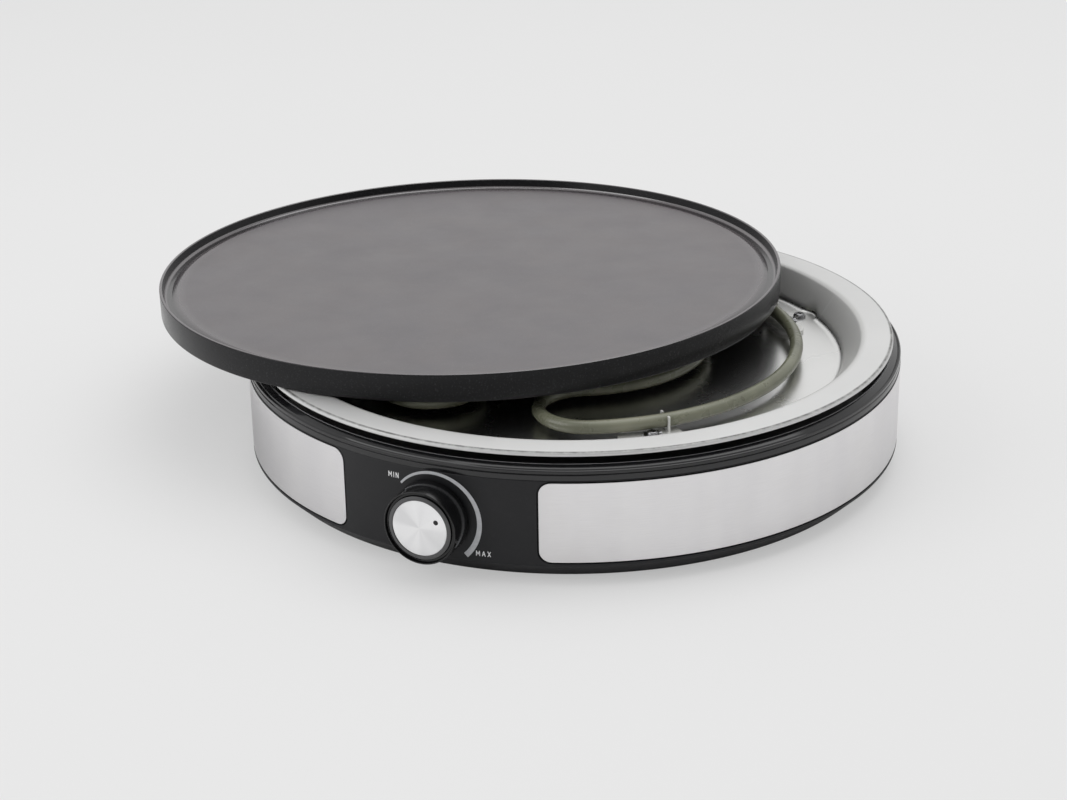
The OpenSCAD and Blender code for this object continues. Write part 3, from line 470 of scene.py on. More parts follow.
def black_plastic(name, color, roughness, grain, level=0.3):
    """Moulded black plastic with a fine grain."""
    s = Shade(name, color, roughness, Specular_IOR_Level=level)
    dust = s.spread(s.noise(300, 4, 0.7), 0.55, 0.8, 0, 0.6)
    s.set("Base Color", s.mix(dust, color, tuple(c * 1.25 + 0.004 for c in color)))
    s.set("Roughness", s.vary(s.noise(35), roughness - 0.04, roughness + 0.05))
    s.bump(s.noise(1600, 2), grain, 0.00006)
    return s.material


def band_material():
    """Stainless steel, brushed along the band, with faint smudges."""
    s = Shade("band_steel", (0.78, 0.77, 0.77), 0.3, metallic=1.0, Anisotropic=0.5)
    s.tangent("Z")
    grain = s.noise(1, 3, 0.7, s.round_the_axis(12, 5200))
    sway = s.noise(1, 2, 0.5, s.round_the_axis(6, 3))
    smudge = s.noise(18, 4)
    tone = s.tones(grain, (0.76, 0.75, 0.755), (0.83, 0.82, 0.825))
    tone = s.mix(s.spread(smudge, 0.5, 0.75, 0, 0.3), tone, (0.70, 0.685, 0.675))
    s.set("Base Color", s.mix(s.spread(sway, 0.35, 0.65, 0, 0.35), tone, (0.68, 0.67, 0.69)))
    s.set("Roughness", s.spread(smudge, 0.3, 0.75, 0.27, 0.36))
    s.bump(grain, 0.05, 0.00005)
    s.bump(s.noise(7, 2), 0.10, 0.0010)
    return s.material


def disc_material():
    """Spun aluminium: fine rings round the knob's axis, painted sheen as darker sectors."""
    s = Shade("disc_metal", (0.9, 0.9, 0.9), 0.3, metallic=1.0, Anisotropic=0.8)
    s.tangent("Y")
    radius, x, z = s.radius("X", "Z", KNOB_Z * MM)
    rings = s.noise(1, 3, 0.7, s.combine(X=s.math("MULTIPLY", radius, 6000)))
    around = s.combine(X=s.math("DIVIDE", x, radius), Y=s.math("DIVIDE", z, radius))
    # painted reflection: sectors by angle round the axis turn the colour darker, as a spun
    # face's sheen
    sheen_wedge = s.spread(s.noise(0.9, 1, 0.5, around), 0.45, 0.60, 0, 0.6)
    tone = s.tones(rings, (0.88, 0.88, 0.885), (0.97, 0.97, 0.975))
    s.set("Base Color", s.mix(sheen_wedge, tone, (0.79, 0.79, 0.80)))
    s.bump(rings, 0.05, 0.00004)
    return s.material


def plain_metal(name, color, roughness, metallic=1.0):
    """Plated or turned metal with a faint mottle."""
    s = Shade(name, color, roughness, metallic=metallic)
    mottle = s.noise(250, 4)
    s.set("Base Color", s.mix(s.spread(mottle, 0.35, 0.65, 0, 1), color,
                              tuple(c * 0.8 for c in color)))
    s.set("Roughness", s.vary(mottle, roughness - 0.06, roughness + 0.1))
    s.bump(s.noise(900), 0.08, 0.00008)
    return s.material


def soft_matter(name, color, roughness):
    """Rubber, ceramic or wire insulation."""
    s = Shade(name, color, roughness, Specular_IOR_Level=0.3)
    s.set("Base Color", s.mix(s.spread(s.noise(300, 4), 0.35, 0.65, 0, 1), color,
                              tuple(min(1, c * 1.2 + 0.01) for c in color)))
    s.set("Roughness", s.vary(s.noise(80), roughness - 0.05, roughness + 0.08))
    s.bump(s.noise(1500, 2), 0.1, 0.0001)
    return s.material


def print_material(name, color):
    """Silver or white printing on the panel."""
    s = Shade(name, color, 0.45)
    s.set("Base Color", s.tones(s.noise(400), tuple(c * 0.92 for c in color),
                                tuple(c * 1.08 for c in color)))
    s.bump(s.noise(2500, 2), 0.1, 0.00003)
    return s.material


MATERIALS = {
    "plate_coating": plate_material(),
    # painted shade: a darker copy of the plate's coating for its lip and skirt
    "plate_rim_shaded": shaded_rim_material(),
    "bowl_metal": bowl_material(),
    "sheath": tube_material(),
    "housing_black": black_plastic("housing_black", (0.014, 0.014, 0.0155), 0.42, 0.10),
    "ring_black": black_plastic("ring_black", (0.007, 0.007, 0.008), 0.11, 0.02, 0.6),
    # a lighter grey for the ring's crest: a painted highlight
    "ring_crest_highlight": black_plastic("ring_crest_highlight", (0.32, 0.32, 0.33), 0.24, 0.02, 0.8),
    "knob_black": black_plastic("knob_black", (0.005, 0.005, 0.0055), 0.12, 0.02, 0.45),
    "bezel_satin": black_plastic("bezel_satin", (0.085, 0.085, 0.087), 0.30, 0.05, 0.5),
    "band_steel": band_material(),
    "disc_metal": disc_material(),
    "plated_steel": plain_metal("plated_steel", (0.80, 0.80, 0.78), 0.42, metallic=0.55),
    "screw_steel": plain_metal("screw_steel", (0.30, 0.30, 0.31), 0.22),
    "cover_plate": black_plastic("cover_plate", (0.02, 0.02, 0.021), 0.5, 0.2),
    "foot_rubber": soft_matter("foot_rubber", (0.02, 0.02, 0.02), 0.75),
    "ceramic": soft_matter("ceramic", (0.72, 0.69, 0.60), 0.6),
    "brass_parts": plain_metal("brass_parts", (0.72, 0.56, 0.28), 0.3),
    "strip_copper": plain_metal("strip_copper", (0.70, 0.42, 0.26), 0.32),
    "wire_brown": soft_matter("wire_brown", (0.20, 0.08, 0.03), 0.5),
    "wire_red": soft_matter("wire_red", (0.40, 0.05, 0.04), 0.5),
    "wire_blue": soft_matter("wire_blue", (0.06, 0.12, 0.40), 0.5),
    "wire_green": soft_matter("wire_green", (0.22, 0.38, 0.05), 0.5),
    "silver_print": print_material("silver_print", (0.55, 0.56, 0.58)),
    "white_print": print_material("white_print", (0.86, 0.86, 0.87)),
}


# -------------------------------------------------------------- baking plate

def make_plate():
    """The cast plate: skirt, rounded lip, gutter and flat deck."""
    under_z, skirt_in, tread = 2.5, PLATE_R - 2, 0.4
    lip_in, gutter_in, deck_r = PLATE_R - 1.5, LIP_FOOT_R - 3.5, LIP_FOOT_R - 6.5
    rows = (120, 60, 0)      # these keep the flat faces short
    outline = rounded([
        *((r, under_z) for r in reversed(rows)), (skirt_in, under_z, 1.2),
        (skirt_in, tread, 0.2), (skirt_in + tread, 0), (PLATE_R, 0, 0.9),
        (PLATE_R, PLATE_H, 0.62), (lip_in, PLATE_H, 0.6), (LIP_FOOT_R, GUTTER_Z, 1.5),
        (gutter_in, GUTTER_Z, 2.5), (deck_r, DECK_Z, 4.5), *((r, DECK_Z) for r in rows),
    ])
    plate = make_turned("plate", outline, WIDE_COLUMNS, "plate_coating", "plate",
                        ["baking_plate"], plate_matrix())
    inverse = plate_matrix().inverted()

    def outside(point):
        """Whether a point lies on the lip's or skirt's outer side, or below."""
        place = inverse @ point
        r = math.hypot(place.x, place.y)
        on_lip = r > LIP_FOOT_R + 0.2 and place.z < PLATE_H - 0.15
        return on_lip or place.z < DECK_Z - 1.6

    # the lip's walls, skirt and underside take the darker copy of the coating: painted shade
    paint(plate, "plate_rim_shaded", outside)


# ---------------------------------------------------------------------- bowl

def angle_between(angle, centre):
    """Angle from a centre, from -180 to 180 degrees."""
    return (angle - centre + 180) % 360 - 180


def pocket_reach(angle):
    """How far out the screw pockets reach at an angle, or 0 between them."""
    off = math.radians(min((angle_between(angle, c) for c in CORNERS), key=abs))
    across = POCKET_CIRCLE_R * math.sin(off)
    if abs(across) >= POCKET_R:
        return 0
    return POCKET_CIRCLE_R * math.cos(off) + math.sqrt(POCKET_R ** 2 - across ** 2)


def bowl_angles():
    """Angles round the bowl, closer together at the pockets."""
    half, steps = math.degrees(math.asin(POCKET_R / POCKET_CIRCLE_R)), 12
    angles = {round(i * 360 / BOWL_COLUMNS, 3) for i in range(BOWL_COLUMNS)}
    for c in CORNERS:
        angles = {a for a in angles if abs(angle_between(a, c)) > half + 0.3}
        for k in range(-steps, steps + 1):
            angles.add(round(c + half * math.sin(math.radians(90 * k / steps)), 3))
    return sorted(angles)


def bowl_outline(drop):
    """(r, z, movable) points of one face of the sheet, offset down by drop."""
    slope, foot, shoulder, bend = 55, 4, 3, 1.2
    floor_rows, wall_rows = (0, 30, 60, 85, 105, 116), 16
    floor = [(r, BOWL_Z - drop) for r in floor_rows]
    foot_arc = arc(FOOT_R, BOWL_Z + foot, foot + drop, -90, -90 + slope, 8)
    top_arc = arc(FLAT_IN_R, FLANGE_Z - shoulder, shoulder - drop, 90 + slope, 90, 8)
    (r0, z0), (r1, z1) = foot_arc[-1], top_arc[0]
    wall = [(r0 + (r1 - r0) * i / wall_rows, z0 + (z1 - z0) * i / wall_rows)
            for i in range(1, wall_rows)]
    rim = [(FLAT_IN_R + 6, FLANGE_Z - drop)]
    rim += arc(FLANGE_R - bend, FLANGE_Z - bend, bend - drop, 90, 0)
    rim.append((FLANGE_R - drop, FLANGE_Z - LIP_H))
    return ([(r, z, False) for r, z in floor] + [(r, z, True) for r, z in foot_arc + wall]
            + [(r, z, False) for r, z in top_arc + rim])


def make_bowl():
    """The reflector bowl: a pressed sheet with a screw pocket at each corner."""
    angles = bowl_angles()
    outline = [(*p, 0) for p in bowl_outline(0)]
    outline += [(*p, SHEET_T) for p in reversed(bowl_outline(SHEET_T))]
    blend, pocket_foot = 1.0, 2.0
    vertices = []
    for angle in angles:
        reach = pocket_reach(angle)
        for r, z, movable, drop in outline:
            if movable and reach:
                h = min(pocket_foot, max(0.0, z - BOWL_Z + drop))
                edge = reach + drop - pocket_foot
                edge += math.sqrt(pocket_foot ** 2 - (pocket_foot - h) ** 2)
                r = (r + edge + math.hypot(r - edge, blend)) / 2
            vertices.append(polar(r, angle, z))
    faces = grid_faces(len(angles), len(outline), True, False)
    make_piece("bowl", vertices, faces, "bowl_metal", "base", ["reflector_bowl"], sharp=50)


# -------------------------------------------------------------- heating tube

def tube_lobe():
    """Path of the right-hand half: leg, bend, inner loop, turn and outer loop."""
    bend_steps, loop_step, turn_steps = 8, 3, 24
    leg_r = math.hypot(COIL_INNER_R, LEG_BEND_R)
    leg_turn = LEG_ANGLE + math.degrees(math.atan2(LEG_BEND_R, COIL_INNER_R))
    foot = Vector(polar(leg_r, leg_turn, 0))
    top = Vector(polar(COIL_INNER_R, LEG_ANGLE, 0))
    path = [foot + Vector((0, 0, LEG_LOW)), foot + Vector((0, 0, (LEG_LOW + BOWL_Z) / 2))]
    for k in range(bend_steps + 1):
        a = math.radians(90 * k / bend_steps)
        flat = top.lerp(foot, math.cos(a))
        path.append(Vector((flat.x, flat.y, TUBE_Z - LEG_BEND_R * (1 - math.sin(a)))))
    path += [Vector(polar(COIL_INNER_R, LEG_ANGLE - i * loop_step, TUBE_Z))
             for i in range(1, (LEG_ANGLE - LOBE_START) // loop_step + 1)]
    lobe_r = (COIL_R - COIL_INNER_R) / 2
    centre = Vector(polar((COIL_R + COIL_INNER_R) / 2, LOBE_START, TUBE_Z))
    inwards = Vector(polar(-1, LOBE_START, 0))
    sideways = Vector(polar(-1, LOBE_START + 90, 0))
    for k in range(1, turn_steps + 1):
        a = math.radians(180 * k / turn_steps)
        path.append(centre + lobe_r * (math.cos(a) * inwards + math.sin(a) * sideways))
    return path


def tube_path():
    """Points along the tube's centreline, from one leg's end to the other's."""
    right = tube_lobe()
    step = 2
    around = [Vector(polar(COIL_R, LOBE_START + i * step, TUBE_Z))
              for i in range(1, (360 - 2 * LOBE_START) // step)]
    left = [Vector((-p.x, p.y, p.z)) for p in reversed(right)]
    return right + around + left


def sweep(path, radius, sides=24):
    """Vertices and faces of a closed tube along a path."""
    tangents = [(path[min(i + 1, len(path) - 1)] - path[max(i - 1, 0)]).normalized()
                for i in range(len(path))]
    side = tangents[0].orthogonal().normalized()
    vertices = []
    for point, tangent in zip(path, tangents):
        side = (side - tangent * side.dot(tangent)).normalized()
        other = tangent.cross(side)
        for k in range(sides):
            a = 2 * math.pi * k / sides
            vertices.append(point + radius * (math.cos(a) * side + math.sin(a) * other))
    faces = grid_faces(len(path), sides, False, True)
    faces += [tuple(range(sides)), tuple(len(vertices) - 1 - k for k in range(sides))]
    return vertices, faces


def make_tube():
    """The sheathed heating tube."""
    vertices, faces = sweep(tube_path(), TUBE_R)
    make_piece("heating_tube", vertices, faces, "sheath", "base", ["heating_element"])


# --------------------------------------------------------------------- clips

def flat_bar(points, thickness):
    """A strip whose outline lies in the XY plane, given a thickness in Z."""
    n = len(points)
    vertices = [(x, y, 0) for x, y in points] + [(x, y, thickness) for x, y in points]
    faces = [tuple(range(n)), tuple(range(n, 2 * n))]
    faces += [(i, (i + 1) % n, n + (i + 1) % n, n + i) for i in range(n)]
    return vertices, faces


def make_clips():
    """Four clips that hold the tube: a foot on the floor and an upright tab."""
    foot_in, foot_out, foot_long, foot_back = COIL_R - 5, COIL_R + 8.5, 24, 6
    half, cut = (foot_out - foot_in) / 2, 1
    front = half - foot_long
    foot = [(foot_in, foot_back - cut), (foot_in, front)]
    foot += arc(foot_in + half, front, half, 180, 360, 12)[1:-1]
    foot += [(foot_out, front), (foot_out, foot_back - cut),
             (foot_out - cut, foot_back), (foot_in + cut, foot_back)]
    tab_t, tab_low, tab_out, nick = 1.0, 0.6, COIL_R + 4.5, 0.5
    tab_top, mouth, mouth_angle = TUBE_LIFT + TUBE_R * 0.95, TUBE_R * 0.9, 29.2
    tab = [(foot_in, tab_low), (tab_out, tab_low), (tab_out, tab_top - nick),
           (tab_out - nick, tab_top), (COIL_R + mouth, tab_top)]
    tab += arc(COIL_R, TUBE_LIFT, TUBE_R + FIT_GAP, mouth_angle, -180 - mouth_angle, 20)
    tab += [(COIL_R - mouth, tab_top), (foot_in + nick, tab_top), (foot_in, tab_top - nick)]
    upright = (Matrix.Translation((0, tab_t / 2, 0))
               @ Matrix.Rotation(math.radians(90), 4, "X"))
    vertices, faces = flat_bar(foot, CLIP_FOOT_H)
    tab_vertices, tab_faces = flat_bar(tab, tab_t)
    faces += [tuple(len(vertices) + k for k in face) for face in tab_faces]
    vertices += moved(tab_vertices, upright)
    for i, place in enumerate(at_corners(0, BOWL_Z)):
        clip = make_piece(f"element_clip_{i + 1}", moved(vertices, place), faces,
                          "plated_steel", "base", ["element_clips"], sharp=30)
        soften(clip, 0.18, 50)


def make_washers():
    """Dark toothed washers under the heads of the clips' screws."""
    teeth, inner, flat, root, tip = 12, 2.0, 3.2, 3.9, 4.8
    low_z, root_z, top_z, twist = 0.03, 0.05, 0.55, 0.5
    screw_out, screw_front = 4.8, 8.6
    vertices = []
    for k in range(4 * teeth):
        angle = 90 * k / teeth
        outer = tip if k % 4 < 2 else root
        up = twist if k % 4 == 1 else 0.0
        vertices += [polar(inner, angle, low_z), polar(inner, angle, top_z),
                     polar(flat, angle, top_z), polar(outer, angle, top_z + up),
                     polar(outer, angle, root_z + up), polar(flat, angle, low_z)]
    faces = grid_faces(4 * teeth, 6, True, True)
    for i, place in enumerate(at_corners(0, BOWL_Z + CLIP_FOOT_H)):
        seat = place @ Matrix.Translation((COIL_R + screw_out, -screw_front, 0))
        make_piece(f"clip_washer_{i + 1}", moved(vertices, seat), faces,
                   "screw_steel", "base", ["clip_washers"], sharp=25)


# -------------------------------------------------------- housing and bands

def corner_drop(x, end_x, r):
    """How far a band's edge is cut in at a place x, by its round corner."""
    if x >= end_x + r:
        return 0.0
    return r - math.sqrt(max(0.0, r * r - (end_x + r - x) ** 2))


def band_angles(end_x, r):
    """Angles of one half band, from its front end to its back end."""
    steps, count = 8, 120
    corner = [end_x + r * (1 - math.cos(math.radians(90 * k / steps)))
              for k in range(steps + 1)]
    front = [math.degrees(math.asin(x / BASE_R)) for x in corner]
    middle = [front[-1] + (180 - 2 * front[-1]) * i / count for i in range(1, count)]
    return front + middle + [180 - a for a in reversed(front)]


def make_bands():
    """The two brushed steel bands, each bent round half of the housing."""
    rows = 8
    per = 2 * (rows + 1)
    angles = band_angles(BAND_END_X, BAND_CORNER_R)
    faces = grid_faces(len(angles), per, False, True)
    for k in range(rows):
        for start in (0, (len(angles) - 1) * per):
            faces.append((start + k, start + k + 1, start + per - 2 - k, start + per - 1 - k))
    for name, sign in (("right", 1), ("left", -1)):
        vertices = []
        for angle in angles:
            x = BASE_R * math.sin(math.radians(angle))
            cut = corner_drop(x, BAND_END_X, BAND_CORNER_R)
            z0, z1 = BAND_LOW + cut, BAND_TOP - cut
            heights = [z0 + (z1 - z0) * k / rows for k in range(rows + 1)]
            vertices += [polar(BASE_R, sign * angle, z) for z in heights]
            vertices += [polar(BASE_R - BAND_T, sign * angle, z) for z in reversed(heights)]
        band = make_piece(f"band_{name}", vertices, faces, "band_steel", "base",
                          [f"steel_band_{name}"], sharp=40)
        soften(band, 0.12, 60)


def housing_angles():
    """(angle, recessed) round the housing, doubled at each band's end."""
    half = band_angles(BAND_END_X - BAND_GAP, BAND_CORNER_R + BAND_GAP)
    marks = []
    for sign in (1, -1):
        marks += [(sign * a % 360, True) for a in half]
        marks += [(sign * a % 360, False) for a in (half[0], half[-1])]
    front = math.ceil(half[0])
    for centre in (0, 180):
        marks += [((centre + a) % 360, False) for a in range(-front + 1, front)]
    order = {a: k for k, a in enumerate(sorted({a for a, _ in marks}))}

    def key(mark):
        """Puts the plain column on the panel's side of a band's end."""
        angle, recessed = mark
        into_band = (angle % 180) < 90
        return (order[angle], recessed if into_band else not recessed)
    return sorted(marks, key=key)


def make_housing():
    """The moulded housing, with a shallow recess for each band."""
    service_r, chamfer, draft, ease, ease_top = 112, 0.4, 0.5, 0.15, 0.25
    sole_top, lean = EDGE_Z + 8.2, 46
    edge_r, edge_mid_r = 3, BASE_R - 9.7
    foot_r = edge_mid_r - 3.5
    vertices = []
    marks = housing_angles()
    for angle, recessed in marks:
        x = abs(BASE_R * math.sin(math.radians(angle)))
        cut = corner_drop(x, BAND_END_X - BAND_GAP, BAND_CORNER_R + BAND_GAP)
        z0, z1 = BAND_LOW - BAND_GAP + cut, BAND_TOP + BAND_GAP - cut
        deep = BASE_R - BAND_RECESS if recessed else BASE_R
        upper_edge = BASE_R - ease if recessed else BASE_R
        foot = [(service_r, FLOOR_Z), (foot_r, FLOOR_Z), (foot_r + draft, EDGE_Z)]
        wall = arc(edge_mid_r, EDGE_Z + edge_r, edge_r, -90, -lean)
        wall += [(BASE_R - ease_top, sole_top - ease_top), (BASE_R, sole_top + ease),
                 (BASE_R, z0 - ease), (upper_edge, z0), (deep, z0), (deep, (z0 + z1) / 2),
                 (deep, z1), (upper_edge, z1), (BASE_R, z1 + ease),
                 (BASE_R, WALL_TOP - chamfer), (BASE_R - chamfer, WALL_TOP)]
        inside = [(WALL_IN, WALL_TOP), (WALL_IN, sole_top + 1.0),
                  (WALL_IN - 3.85, FLOOR_TOP), (service_r, FLOOR_TOP)]
        vertices += [polar(r, angle, z) for r, z in foot + wall + inside]
    faces = grid_faces(len(marks), len(vertices) // len(marks), True, True)
    make_piece("housing_shell", vertices, faces, "housing_black", "base", ["housing"], sharp=30)


def make_ring():
    """The glossy ring on the housing: tongue, ledge, two grooves and a narrow crest with a
    painted highlight.
    """
    out, ledge_r = BASE_R - FIT_GAP, 138.4
    inner = out - 5.1
    tongue_out = WALL_IN - FIT_GAP
    tongue_in, tongue_z = tongue_out - 1.4, WALL_TOP - 6
    ledge_z, ledge_mid = WALL_TOP + 1.5, WALL_TOP + 0.75
    seam_z, groove_z = RING_TOP - 3.35, RING_TOP - 2.0
    outline = rounded([
        (ledge_r, ledge_mid), (ledge_r, WALL_TOP, 0.3), (tongue_in, WALL_TOP, 0.3),
        (tongue_in, tongue_z, 0.3), (tongue_out, tongue_z, 0.3),
        (tongue_out, WALL_TOP, 0.05), (out, WALL_TOP, 0.25),
        (out, seam_z - 0.4, 0.15), (out - 0.6, seam_z, 0.1), (out, seam_z + 0.4, 0.2),
        (out, groove_z + 0.3, 0.4), (out - 0.7, groove_z + 0.7, 0.15),
        (out - 1.2, groove_z, 0.15), (out - 1.7, groove_z + 0.8, 0.2),
        (inner + 0.7, RING_TOP, 0.2), (inner, RING_TOP, 0.2), (inner, ledge_z, 0.8),
        (ledge_r, ledge_z, 0.3), (ledge_r, ledge_mid),
    ], steps=4)
    ring = make_turned("ring", outline, WIDE_COLUMNS, "ring_black", "base", ["top_ring"])
    # painted highlight: the crest's faces take a lighter grey
    paint(ring, "ring_crest_highlight", lambda point: point.z > RING_TOP - 0.1)


# ---------------------------------------------------------------------- knob

def knob_matrix():
    """Stands a shape made about Z along the knob's axis, its nose to the front."""
    return (Matrix.Translation((0, 0, KNOB_Z))
            @ Matrix.Rotation(math.radians(DOT_TURN), 4, "Y")
            @ Matrix.Rotation(math.radians(90), 4, "X"))


def depth(y):
    """A place on the knob's axis, as a height in the shape's own frame."""
    return -y


def make_knob():
    """The knob: tapered barrel, bezel in a groove, hub, a metal face and its dot."""
    sink, disc_t = 0.3, 1.0
    face_y, floor_y = KNOB_FRONT + sink, KNOB_FRONT + sink + disc_t
    groove_y, roof_y = KNOB_FRONT + 1.7, KNOB_FRONT + 5
    bezel, rim, shell, hub, shaft = DISC_R + 1.9, KNOB_R - 0.5, KNOB_R - 2, 5.4, 3.05
    seat = DISC_R + FIT_GAP
    outline = rounded([
        (0, depth(floor_y)), (seat, depth(floor_y)), (seat, depth(KNOB_FRONT + 0.15)),
        (seat + 0.15, depth(KNOB_FRONT), 0.1), (seat + 0.4, depth(KNOB_FRONT), 0.1),
        (bezel, depth(KNOB_FRONT + 0.5), 0.2), (bezel + 0.15, depth(groove_y), 0.3),
        (rim - 0.9, depth(groove_y), 0.3), (rim - 0.6, depth(KNOB_FRONT), 0.2),
        (rim, depth(KNOB_FRONT + 0.05), 0.35), (KNOB_R, depth(KNOB_BACK), 0.35),
        (shell, depth(KNOB_BACK), 0.35), (shell, depth(roof_y), 1.0),
        (hub, depth(roof_y), 0.6), (hub, depth(KNOB_BACK), 0.3),
        (shaft, depth(KNOB_BACK), 0.2), (shaft, depth(roof_y)), (0, depth(roof_y)),
    ])
    cap = make_turned("knob_cap", outline, KNOB_COLUMNS, "knob_black", "knob",
                      ["knob_body"], knob_matrix())

    def on_bezel(point):
        """Whether a point lies on the bezel's front."""
        r = math.hypot(point.x, point.z - KNOB_Z)
        return DISC_R < r < bezel + 0.02 and point.y < KNOB_FRONT + 0.7

    paint(cap, "bezel_satin", on_bezel)
    back = depth(floor_y - 0.02)
    face = rounded([(0, back), (DISC_R, back), (DISC_R, depth(face_y), 0.15),
                    (9, depth(face_y)), (4, depth(face_y)), (0, depth(face_y))])
    make_turned("knob_face", face, KNOB_COLUMNS, "disc_metal", "knob",
                ["knob_disc"], knob_matrix())
    proud, dished, root = 0.1, 0.08, -0.6
    dot = rounded([(0, proud), (DOT_R * 0.55, dished), (DOT_R, proud, 0.08),
                   (DOT_R, root), (0, root)])
    make_turned("knob_dot", dot, 40, "knob_black", "knob", ["knob_pointer"],
                knob_matrix() @ Matrix.Translation((0, DOT_CIRCLE_R, depth(face_y))))


# ------------------------------------------------------- printing by the knob

def on_wall(x, z):
    """A point of the printing, bent round the housing's wall and just off it."""
    lift = 0.04
    return polar(BASE_R + lift, math.degrees(x / BASE_R), z)


def make_scale():
    """The arc round the knob from MIN to MAX, which widens as it goes."""
    start, end, steps = -49, 137, 72
    first_r, last_r, first_w, last_w = 20.6, 22.7, 1.0, 2.6
    vertices = []
    for k in range(steps + 1):
        share = k / steps
        turn = math.radians(start + (end - start) * share)
        radius = first_r + (last_r - first_r) * share
        half = (first_w + (last_w - first_w) * share) / 2
        for r in (radius - half, radius, radius + half):
            vertices.append(on_wall(r * math.sin(turn), KNOB_Z + r * math.cos(turn)))
    make_piece("scale_arc", vertices, grid_faces(steps + 1, 3, False, False),
               "silver_print", "base")


# Each letter's width, and its strokes as shares of its width and height
LETTERS = {
    "M": (1.5, [((0, 0), (0, 1), (0.5, 0.3), (1, 1), (1, 0))]),
    "I": (0.0, [((0, 0), (0, 1))]),
    "N": (1.2, [((0, 0), (0, 1), (1, 0), (1, 1))]),
    "A": (1.4, [((0, 0), (0.5, 1), (1, 0)), ((0.18, 0.35), (0.82, 0.35))]),
    "X": (1.3, [((0, 0), (1, 1)), ((0, 1), (1, 0))]),
}


def make_word(name, word, left, bottom, height):
    """A short printed word of straight strokes, bent round the wall."""
    stroke, space = 0.38, 0.8
    vertices, faces = [], []
    for letter in word:
        width, lines = LETTERS[letter]
        for line in lines:
            points = [Vector((left + x * width, bottom + y * height)) for x, y in line]
            for start, end in zip(points, points[1:]):
                side = (end - start).normalized().orthogonal() * stroke / 2
                first = len(vertices)
                corners = (start - side, start + side, end + side, end - side)
                vertices += [on_wall(*corner) for corner in corners]
                faces.append(tuple(range(first, first + 4)))
        left += width + stroke + space
    make_piece(name, vertices, faces, "white_print", "base")


# -------------------------------------------------------------- small pieces

def make_feet():
    """Four rubber feet with rounded edges and a sunk middle."""
    foot_r, circle_r, sunk_r, sunk, stem_r, button_r = 7, 140, 4.4, 0.5, 2.5, 3.3
    button_low, button_top = FLOOR_TOP + FIT_GAP, FLOOR_TOP + 1.6
    outline = rounded([
        (0, sunk), (sunk_r, sunk, 0.4), (sunk_r + 0.6, 0, 0.3), (foot_r - 0.1, 0, 0.7),
        (foot_r, FLOOR_Z, 0.3), (stem_r, FLOOR_Z), (stem_r, button_low),
        (button_r, button_low, 0.2), (stem_r - 0.5, button_top, 0.4), (0, button_top)])
    for i, place in enumerate(at_corners(circle_r, 0)):
        make_turned(f"foot_{i + 1}", outline, 64, "foot_rubber", "base", ["feet"], place)


def make_gland():
    """The rubber gland in the back wall, with its snap ridge and round lip."""
    gland_low, gland_high = low("cord_gland"), high("cord_gland")
    hole, neck, flange = 3.6, 6.1, gland_high[0]
    inner_y, outer_y = gland_low[1], gland_high[1]
    snap_y, seat_y, mid_y = WALL_IN - 0.6, BASE_R + 0.15, (inner_y + outer_y) / 2
    outline = rounded([
        (hole, mid_y), (hole, inner_y, 0.3), (neck + 0.5, inner_y, 0.4),
        (neck + 1, snap_y, 0.3), (neck, snap_y, 0.1), (neck, seat_y, 0.1),
        (flange, seat_y, 0.3), (flange, outer_y - 0.6, 0.8), (flange - 1.6, outer_y, 0.8),
        (hole + 1.4, outer_y, 0.6), (hole, outer_y - 0.8, 0.5), (hole, mid_y)])
    middle = Matrix.Translation((0, 0, (gland_low[2] + gland_high[2]) / 2))
    make_turned("gland", outline, 96, "foot_rubber", "base", ["cord_gland"],
                middle @ Matrix.Rotation(math.radians(-90), 4, "X"))


def dress_frame_nodes():
    """Materials for the CAD nodes, and soft edges on those that stay in sight."""
    slots = {row["node"]: row["material_slot"] for row in frame["record"]["subparts"]}
    for name, node in frame["nodes"].items():
        node.data.materials.clear()
        node.data.materials.append(MATERIALS[slots[name]])
    for name in ("bowl_screws", "clip_screws", "cover_screws", "bottom_cover"):
        soften(frame["nodes"][name], 0.12, 40)


# ----------------------------------------------------------- stage and camera

def grey(level):
    """A linear grey as a colour."""
    return (level, level, level, 1)


BACKGROUND = 0.783       # the pale background's linear grey


